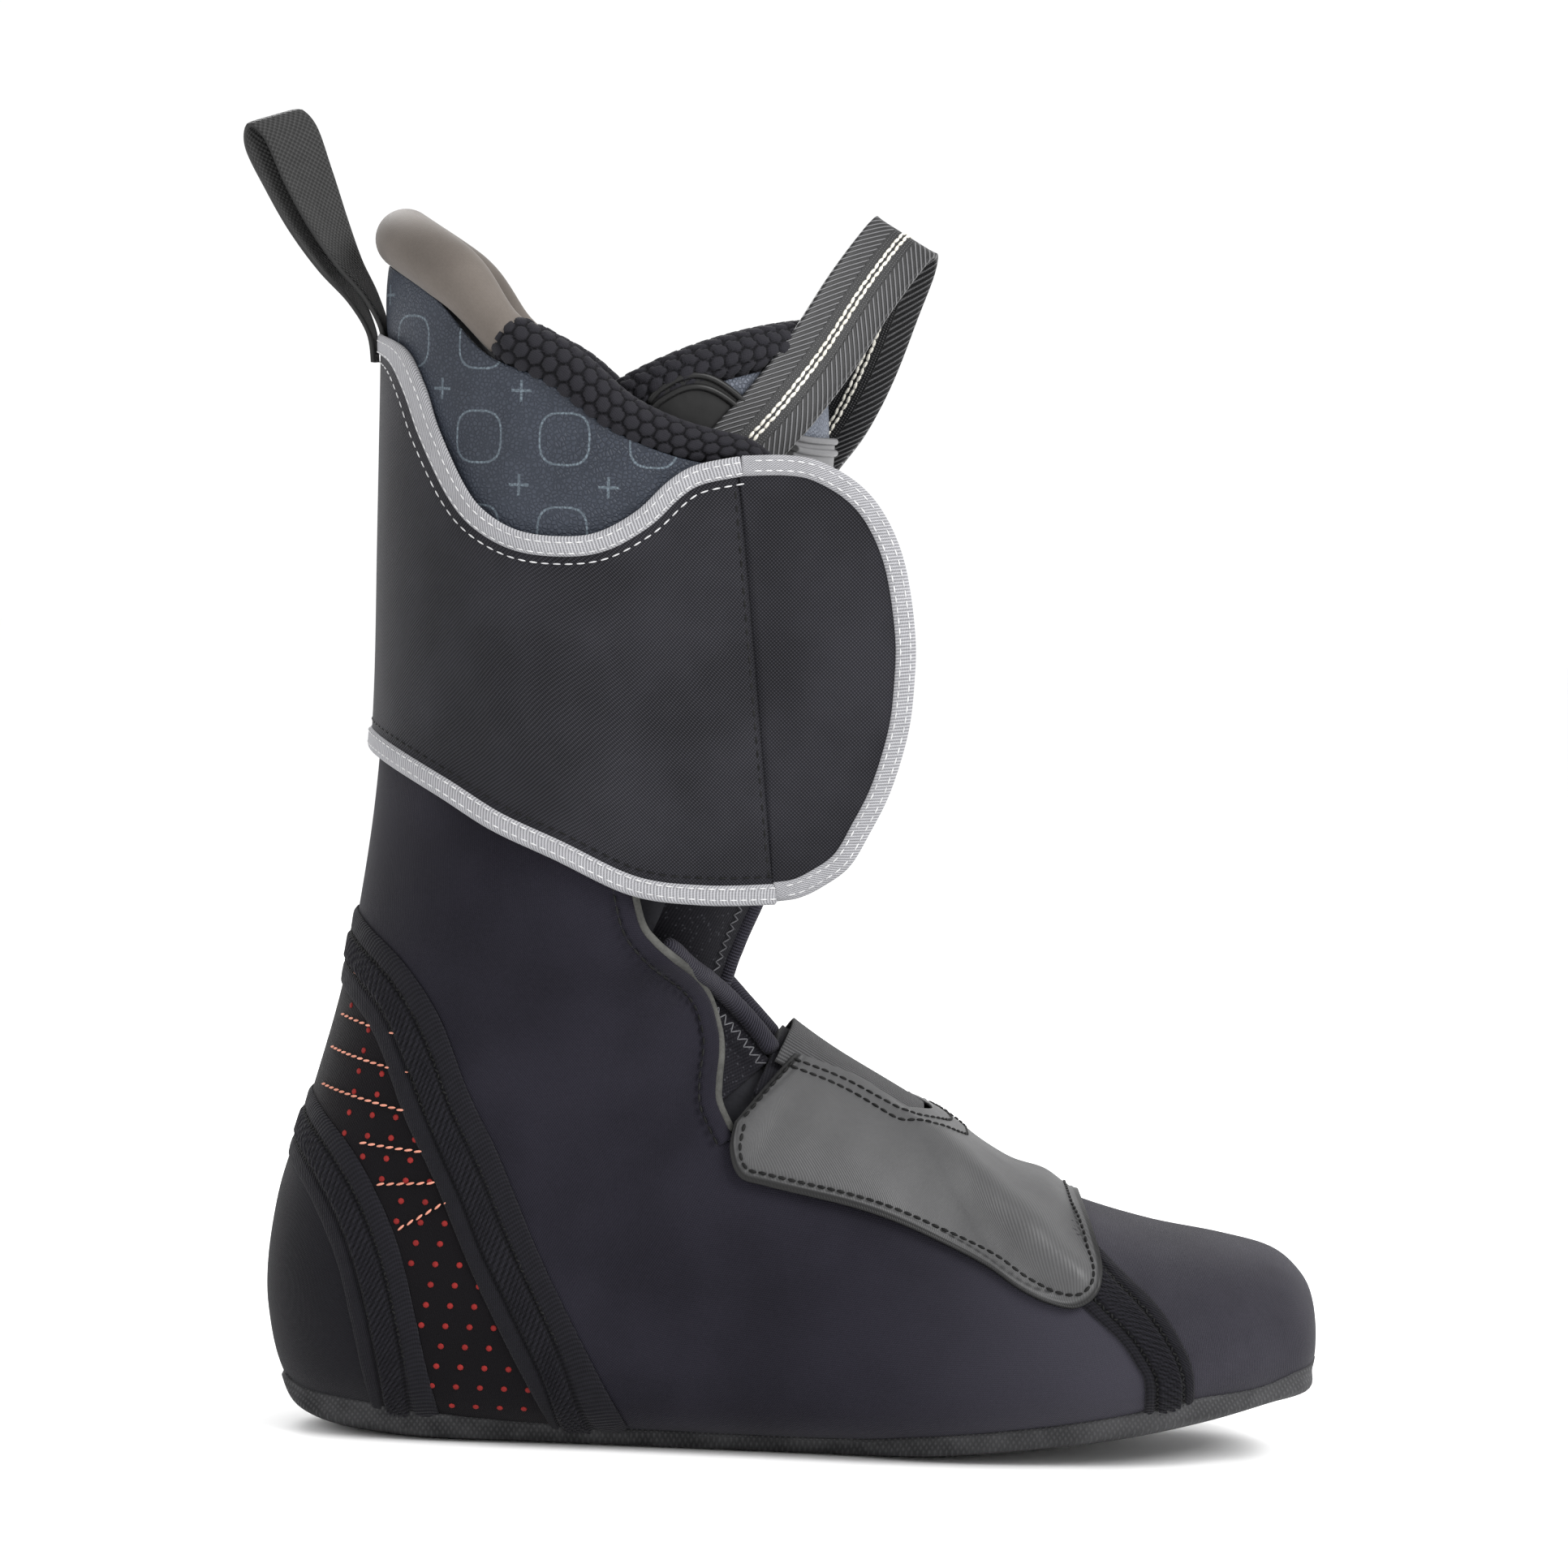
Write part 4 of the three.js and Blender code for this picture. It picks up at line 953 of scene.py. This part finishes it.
def instep():
    near, far = Edge(SLOT_EDGE, close=True), Edge(OVERLAY_EDGE, close=True)
    places = between(near, far)

    def place(t, s, lift):
        found = places(t, s)
        crease = folds(lifted(found, UNDER_OVERLAY)) * smooth(s, 0.0, 0.15) * smooth(1 - s, -0.02, 0.12)
        return lifted(found, 2.8 + lift + crease)

    def relief(along, across, t, s):
        inside = np.minimum(across[-1:] - across, along - along[:, :1])
        inside = np.minimum(inside, along[:, -1:] - along)
        height = -0.5 * (1 - smooth(inside, 1.2, 2.0)) - 0.35 * np.exp(-(((inside - 2.5) / 0.7) ** 2))
        return smooth(inside, 1.5, 1.9), height

    bm = laid((300, 110), place, relief)
    finished("instep_overlay", bm, OVERLAY, "boot", ["instep_overlay"], solid=1.1)

    t, s = np.meshgrid(np.linspace(0, 1, 301), np.linspace(0, 1, 91))
    below = lifted(places(t, s), UNDER_OVERLAY).reshape(-1, 3)
    above = np.linalg.norm(place(t, s, 0.1).reshape(-1, 3) - below, axis=1)

    def row(edge):
        """A row of stitches on the creased cloth, at the height it has nearest to each point."""
        low, out = skin_row(edge, UNDER_OVERLAY, 300)
        near = [np.argmin(((below - p) ** 2).sum(1)) for p in low]
        return low + unit(out) * above[near][:, None], out

    rear = Edge([[-18.6, 88.5], [-12, 96], [-6.8, 101.5]])
    steps = (OVERLAY_EDGE, 2.7), (SLOT_EDGE, -1.6), (SLOT_EDGE, -3.3)
    edges = [Edge(aside(points, step), close=True) for points, step in steps]
    rows = [row(edge) for edge in edges + [rear, mirrored(rear)]]
    thread("instep_overlay_stitches", rows, BLACK_THREAD, "boot", (2.6, 2.2, 0.9))
    elastic = Edge([[-11, 103], [5, 95], [14, 91], [22, 87], [27, 84]])
    across = between(elastic, lambda t: other(elastic(t)) - np.array([0, 2 * math.pi]))
    bm = laid((60, 90), on_skin(across, 1.2, lambda t, s: 0.8 * np.sin(math.pi * s)))
    finished("instep_elastic", bm, ELASTIC, "boot", ["instep_elastic"], solid=1.0)
    root = lambda t, s: np.stack([lerp(6.2, 9.9, t), (s - 0.5) * lerp(1.9, 1.6, t)], -1)
    finished("tongue_root", laid((50, 50), on_skin(root, -1.4)), STRETCH, "boot", ["tongue_root"], solid=4.5)


def inside_foot():
    def places(t, s):
        place = lerp(3.4, 17.0, t)
        top = lerp(0.5, 1.25, smooth(place, 9, 14.5))
        return np.stack([place, lerp(top, 2 * math.pi - top, s)], -1)

    bm = laid((90, 70), on_skin(places, -WALL - 0.2))
    finished("foot_lining", bm, LINING, None, ["foot_lining"], blend=ANKLE, solid=0.9)

    def bed(t, s):
        reach = 0.7 * (1 - np.abs(2 * t - 1) ** 5 * 0.5)
        return np.stack([lerp(4.2, 11.2, t), math.pi + (1 - 2 * s) * reach], -1)

    bm = laid((70, 30), on_skin(bed, -WALL - 8.6))
    bmesh.ops.reverse_faces(bm, faces=bm.faces)
    finished("footbed", bm, LINING, "boot", ["footbed"], solid=2.4)


# ---- The shaft -------------------------------------------------------------------------------------

def fold_x(z):
    return lerp(FOLD_LOW[0], FOLD_HIGH[0], (z - FOLD_LOW[1]) / (FOLD_HIGH[1] - FOLD_LOW[1]))


def under_rim(gap):
    depth = np.array([5.4] * 4 + [7.4] * 3) + gap
    return Edge(aside(RIM, depth), close=True)


def shaft():
    front = Edge([[-47, 152], [-40, 180], [-31, 218], [-25, 252]])
    low = Edge([[-47, 152], [-70, 153.5], [-95, 156], [-121, 158.5]], close=True)
    places = between(low, under_rim(-1.5), front, mirrored(front))
    bm = laid((110, 60), on_skin(places, -1.3))
    finished("shaft_foam", bm, FOAM, "cuff", ["shaft_foam"], solid=7.0)
    bm = laid((110, 60), on_skin(places, -8.6))
    finished("shaft_lining", bm, LINING, "cuff", ["shaft_lining"], solid=1.0)
    facing = between(Edge(aside(CUFF_TOP[1:], 4), close=True), under_rim(-1.5))
    bm = laid((170, 50), on_skin(facing, 0.2, lambda t, s: 0.9 * np.sin(math.pi * np.clip(s, 0, 1)) ** 0.7))
    layer = bm.loops.layers.uv["cloth"]
    for face in bm.faces:
        for loop in face.loops:
            x, y, z = loop.vert.co / MM
            loop[layer].uv = (math.copysign(math.acos(max(-1, min(1, -(x + 65) / 62))) * 64, y), z)
    finished("collar_facing", bm, FACING, "cuff", ["collar_facing"], solid=1.0)


def cuff():
    edge = Edge([[fold_x(z), z] for z in np.linspace(147, 259, 8)])
    low, high = Edge(aside(CUFF_BOTTOM, -3), close=True), Edge(aside(CUFF_TOP, 3), close=True)

    def puff(t, s):
        thin = 0.7 * (1 - smooth(np.minimum(t, 1 - t), 0, 0.006))
        return 0.5 * np.sin(math.pi * s) * np.sin(math.pi * np.clip(t, 0, 1)) - thin

    places = between(low, high, edge, mirrored(edge))
    bm = laid((230, 80), on_skin(places, CUFF_TOP_LIFT, puff))
    finished("cuff_sheet", bm, BALLISTIC, "cuff", ["cuff_sheet"], solid=1.8)
    for name, points, way in (("cuff_top_binding", CUFF_TOP, 1), ("cuff_bottom_binding", CUFF_BOTTOM, -1)):
        near, far = Edge(points, close=True), Edge(aside(points, way * BOUND), close=True)
        bm = laid((int(near.length / 1.1), 12), on_skin(between(near, far), 2.6, crowned(0.9, 4)))
        finished(name, bm, BINDING, "cuff", [name], solid=2.6, rounded=1)
        rows = [skin_row(Edge(aside(points, way * d), close=True), 3.45, samples=500) for d in (1.9, 4.7)]
        thread(name + "_stitches", rows, WHITE_THREAD, "cuff", BINDING_GAUGE)
        rows = [skin_row(Edge(aside(points, way * (BOUND + 1.6)), close=True), 2.75, samples=500)]
        colour = WHITE_THREAD if way > 0 else BLACK_THREAD
        thread(name + "_inner_stitches", rows, colour, "cuff", (3.1, 2.2, 0.45))
    line = Edge([[fold_x(z) - 1.5, z] for z in np.linspace(153, 253, 6)])
    rows = [skin_row(turn(line), 2.3) for _, turn in SIDES]
    thread("fold_stitches", rows, BLACK_THREAD, "cuff", (3.5, 2.5, 0.8))


def flap_point(x, z, side, lift):
    fold = fold_x(z)
    root = lifted(locate(fold, z))
    beyond = np.maximum(x - fold, 0)
    inward = beyond * (0.03 + 0.0016 * beyond)
    return np.stack([x + 0 * lift, side * (np.abs(root[..., 1]) - inward + lift), z + 0 * lift], -1)


def flap(name, outline, side):
    inner = aside(outline, -3)
    top, low = outline[0][1], outline[-1][1]

    def place(t, s, lift):
        edge = spline(inner, t)
        z = lerp(top - 4, low + 3, t)
        x = lerp(fold_x(z), np.maximum(edge[..., 0], fold_x(z) + 0.2), s)
        puff = 0.5 * np.sin(math.pi * s) * np.sin(math.pi * t) - 0.7 * (1 - smooth(s, 0, 0.05))
        return flap_point(x, lerp(z, edge[..., 1], s), side, CUFF_TOP_LIFT + puff + lift)

    crease = (FOLD_LOW[0] + FOLD_HIGH[0]) / 2
    along = Vector((FOLD_HIGH[1] - FOLD_LOW[1], 0, FOLD_LOW[0] - FOLD_HIGH[0])).normalized()
    start = Vector((crease - 1.5, side * 50, (FOLD_LOW[1] + FOLD_HIGH[1]) / 2))
    joint = ("cuff", name + "_flap", tuple(start * MM), tuple((start + along * 9) * MM))
    bm = laid((90, 50), place)
    layer = bm.loops.layers.uv["cloth"]
    for v in bm.verts:
        for loop in v.link_loops:
            loop[layer].uv = (v.co.x / MM, v.co.z / MM)
    finished(name + "_flap", bm, BALLISTIC, None, [name + "_flap"], blend=joint, solid=1.8)

    def bound(t, s, lift):
        a, b = spline(aside(outline, -BOUND), t), spline(outline, t)
        x, z = np.moveaxis(lerp(a, b, s[..., None]), -1, 0)
        x = np.maximum(x, fold_x(z) - 0.5)
        return flap_point(x, z, side, 2.6 + lift + 0.9 * (1 - np.abs(2 * s - 1) ** 4))

    bm = laid((230, 12), bound)
    finished(name + "_flap_binding", bm, BINDING, None, [name + "_flap_binding"], blend=joint,
             solid=2.6, rounded=1)
    rows = []
    for d in (1.7, 4.3):
        p = spline(aside(outline, -d), np.linspace(0.02, 0.98, 300))
        under, over = (flap_point(*p.T, side, np.full(300, h)) for h in (3.45, 4.0))
        rows.append((under, over - under))
    thread(name + "_flap_stitches", rows, WHITE_THREAD, None, BINDING_GAUGE, blend=joint)


def hexagons(pitch, depth):
    """Relief of a knit with raised hexagon cells."""
    def relief(along, across, t, s):
        girth = across[-1].mean()
        count = max(4, round(girth / (pitch * 0.866)))
        count += count % 2
        v = s * count * 0.866 * pitch
        wide, high = pitch, pitch * math.sqrt(3)
        best = np.full(along.shape, 1e9)
        second = best.copy()
        for dx, dy in ((0, 0), (0.5, 0.5)):
            u = (along / wide - dx)
            w = (v / high - dy)
            for a in (np.floor(u), np.floor(u) + 1):
                for b in (np.floor(w), np.floor(w) + 1):
                    d = np.hypot((u - a) * wide, (w - b) * high)
                    nearer = d < best
                    second = np.where(nearer, best, np.minimum(second, d))
                    best = np.where(nearer, d, best)
        gap = (second - best) / pitch
        raised = smooth(gap, 0.03, 0.32)
        return raised, (raised - 1) * depth

    return relief


def collar():
    rim = Edge(RIM, close=True)
    points = lambda t: lifted(rim(t), -SHAFT_WALL / 2)
    for side, shares in (("outer", np.linspace(0.0, 0.262, 30)), ("inner", np.linspace(1.0, 0.738, 30))):
        line = points(shares)
        ahead = unit(line[0] - line[2])
        line = np.vstack([line[0] + ahead * 9 + [0, 0, -4.5], line[0] + ahead * 4 + [0, 0, -1.2], line])
        size = lambda t: lerp(4.9, 6.9, smooth(t, 0.02, 0.8))
        bm = laid((150, 64), tubular(line, round_ends(size, 88.0)), hexagons(4.3, 1.0), merge=True)
        roll = finished(side + "_collar_roll", bm, KNIT, "cuff", [side + "_collar_roll"])
    line = points(np.linspace(0.235, 0.765, 60))
    size = lambda t: 6.0 + 2.0 * smooth(np.minimum(t, 1 - t), 0.05, 0.22)
    bm = laid((150, 44), tubular(line, round_ends(size, 170.0)), merge=True)
    pad = finished("rear_collar_pad", bm, TAUPE, "cuff", ["rear_collar_pad"])


# ---- The tongue --------------------------------------------------------------------------------------

TONGUE = np.array([[112, -28, 19, 24], [122, -23.5, 24, 28], [131, -20.4, 27, 30], [144, -15, 31, 34],
                   [165, -9.6, 35, 38], [200, -5, 39.5, 42], [235, -2.6, 42, 44], [265, -1.6, 42.5, 45],
                   [300, -3.5, 42.5, 45]])
SPREAD = 1.75


def on_tongue(share, z, depth):
    place = np.interp(z, TONGUE[:, 0], np.arange(len(TONGUE)))
    _, front, half, deep = np.moveaxis(row_at(TONGUE, place), -1, 0)
    angle = share * SPREAD
    x = front - deep + (deep - depth) * np.cos(angle)
    return np.stack([x, (half - depth) * np.sin(angle), z + 0 * depth], -1)


def tongue_top(q):
    return 286 - 17 * np.abs(q) ** 2.6


def tongue_low(q):
    return 118 + 16 * np.abs(q)


def tongue_sheet(name, material, nodes, spread, low, high, depth, solid, cells, profile=None, rounded=0):
    """A layer of the tongue between the heights low and high, at that depth behind its front."""
    def place(t, s, lift):
        q = lerp(-spread, spread, t)
        extra = profile(q, s) if profile else 0.0
        return on_tongue(q, lerp(low(q), high(q), s), depth - extra - lift)

    finished(name, laid(cells, place), material, "tongue", nodes, solid=solid, rounded=rounded)


def shield_top(q):
    q = np.abs(q)
    return 266 + 16 * np.exp(-(((q - 0.76) / 0.22) ** 2)) - 5 * smooth(q, 0.88, 1.0)


def tongue():
    tongue_sheet("tongue_foam", FOAM, ["tongue_foam"], 0.99, tongue_low, tongue_top,
                 1.4, 6.4, (90, 70), rounded=1)
    tongue_sheet("tongue_facing", TONGUE_FACING, ["tongue_facing"], 1.0,
                 lambda q: 180 + 10 * np.abs(q), tongue_top,
                 0.6, 1.0, (110, 60), lambda q, s: 0.8 * np.sin(math.pi * s) ** 0.5)
    tongue_sheet("tongue_neck", STRETCH, ["tongue_neck"], 0.95,
                 lambda q: 116 + 12 * np.abs(q), lambda q: 196 + 6 * np.abs(q),
                 0.3, 1.0, (100, 60))
    tongue_sheet("tongue_lining", LINING, ["tongue_lining"], 1.0, tongue_low, tongue_top,
                 8.2, 1.0, (90, 60))
    tongue_sheet("tongue_shield", SHIELD, ["tongue_shield"], 0.93,
                 lambda q: 150 + 8 * np.abs(q), shield_top,
                 -1.2, 1.3, (120, 70), lambda q, s: 0.3 * smooth(s, 0.9, 1.0))
    for number, drop in enumerate((0.6, 3.6)):
        q = np.linspace(-0.92, 0.92, 120)
        points = on_tongue(q, shield_top(q) - drop, np.full(120, -1.5))
        bead(f"shield_piping_{number + 1}", points, 0.95, SHIELD, "tongue", cells=(300, 10))
    q = np.linspace(-1.13, 1.13, 70)
    line = on_tongue(q, tongue_top(q) + 5.2, np.full(70, 3.6))
    bm = laid((280, 56), tubular(line, round_ends(6.1, 172.0)), hexagons(4.3, 1.0), merge=True)
    roll = finished("tongue_roll", bm, KNIT, "tongue", ["tongue_roll"])
    z = np.linspace(118, 151, 40)
    for name, way in (("outer", -1), ("inner", 1)):
        points = on_tongue(np.full(40, way * 0.2), z, np.zeros(40))
        bead(name + "_neck_rolled_edge", points, 2.2, ROLLED_EDGE, "tongue", (70, 20), up=(1, 0, 0))
        points, behind = (on_tongue(np.full(40, way * 0.34), z, np.full(40, depth)) for depth in (-0.2, 1.0))
        thread(name + "_neck_zigzag", [(points, points - behind)], GREY_THREAD, "tongue", ZIGZAG,
               zigzag=ZIGZAG_TURN)


# ---- The pull loops --------------------------------------------------------------------------------------

def band(points, across, width):
    """place(t, s, lift) for flat webbing: across(t) is the way its width lies."""
    def place(t, s, lift):
        centre = spline(points, t)
        way = spline(points, np.minimum(t + 0.01, 1)) - spline(points, np.maximum(t - 0.01, 0))
        side = unit(across(t))
        out = unit(np.cross(unit(way), side))
        edge = 1 - np.abs(2 * s - 1) ** 8
        return centre + side * ((s - 0.5) * width)[..., None] + out * (0.75 * (0.6 + 0.4 * edge) + lift)[..., None]

    return place


LOOP = [[-36, -44.6, 246], [-31, -44.2, 253], [-24, -41.5, 263], [-14, -36, 275], [-4, -27, 289], [5, -17, 304],
        [12.5, -7.5, 315], [16.5, -1, 319.6], [17, 5, 316], [13, 13, 304], [7.5, 21, 288], [0.5, 27.5, 272],
        [-7, 30.5, 259], [-11, 31.5, 249]]
LOOP_BEND = ("tongue", "tongue_loop", (-0.012, 0, 0.256), (-0.004, 0, 0.272))


def tongue_loop():
    def across(t):
        near, far = 1 - smooth(t, 0.0, 0.3)[..., None], smooth(t, 0.75, 0.97)[..., None]
        free, first, last = np.array([[0.86, 0, -0.5], [0.86, 0.12, -0.5], [0.66, -0.66, -0.34]])
        return free + near * (first - free) + far * (last - free)

    place = band(LOOP, across, 19)
    bm = laid((260, 24), place)
    finished("tongue_pull_loop", bm, HERRINGBONE, None, ["tongue_pull_loop"], blend=LOOP_BEND, solid=1.5)
    t = np.linspace(0.0, 1, 400)
    for side, lift in ((1, 0.12), (-1, -1.62)):
        rows = []
        for drift in (-0.035, 0.035):
            low, high = (place(t, np.full(400, 0.5 + drift), np.full(400, h)) for h in (lift, lift + side))
            rows.append((low, high - low))
        thread(f"loop_chain_stitch_{'out' if side > 0 else 'in'}", rows, CREAM_THREAD, None,
               (2.2, 2.35, 0.95), zigzag=0.12, blend=LOOP_BEND)


def rear_loop():
    path = [[-120.6, 283], [-121.6, 291], [-125.8, 299.5], [-132, 308], [-138, 318.5], [-143.5, 330], [-148.5, 341]]
    apart = np.linspace(0.9, 2.3, len(path))
    out = [[x - d, 0, z - 0.4 * d] for (x, z), d in zip(path, apart)]
    home = [[x + d, 0, z + 0.4 * d] for (x, z), d in zip(path, apart)][::-1]
    points = out + [[-150.4, 0, 345.4]] + home

    def across(t):
        twist = 1.1 * smooth(1 - np.abs(2 * t - 1), 0, 1)
        return np.stack([np.sin(twist) * 0.94, np.cos(twist), np.sin(twist) * 0.34], -1)

    bm = laid((200, 20), band(points, across, 15))
    finished("rear_pull_loop", bm, WEBBING, None, ["rear_pull_loop"], solid=1.2, offset=0,
             blend=("cuff", "rear_loop", (-0.121, 0, 0.290), (-0.125, 0, 0.298)))


upper()
toe_box()
sole()
heel()
tape("toe_seam_tape", TOE_SEAM, 6.5, 6.5, "toe_seam_tape")
tape("heel_seam_tape", HEEL_SEAM, 8, 9, "heel_seam_tape")
tape("ankle_seam_tape", ANKLE_SEAM, 10.5, 7.5, "ankle_seam_tape", ANKLE)
heel_details()
throat()
wings()
instep()
inside_foot()
shaft()
cuff()
flap("outer", OUTER_FLAP, -1)
flap("inner", INNER_FLAP, 1)
collar()
tongue()
tongue_loop()
rear_loop()
for node in ("lasting_board", "outer_ankle_pad", "inner_ankle_pad", "heel_pad"):
    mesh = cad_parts[node].data
    mesh.materials.clear()
    mesh.materials.append(FOAM)

bm = bmesh.new()
bmesh.ops.create_grid(bm, x_segments=1, y_segments=1, size=6)
mesh = bpy.data.meshes.new("floor")
bm.to_mesh(mesh)
bm.free()
floor = bpy.data.objects.new("floor", mesh)
paper = Finish("studio_floor", 0.9)
paper.feed("Base Color", paper.mix(paper.noise(400.0, 2.0), (0.955, 0.955, 0.955), (0.97, 0.97, 0.97)))
mesh.materials.append(paper.material)
scene.collection.objects.link(floor)
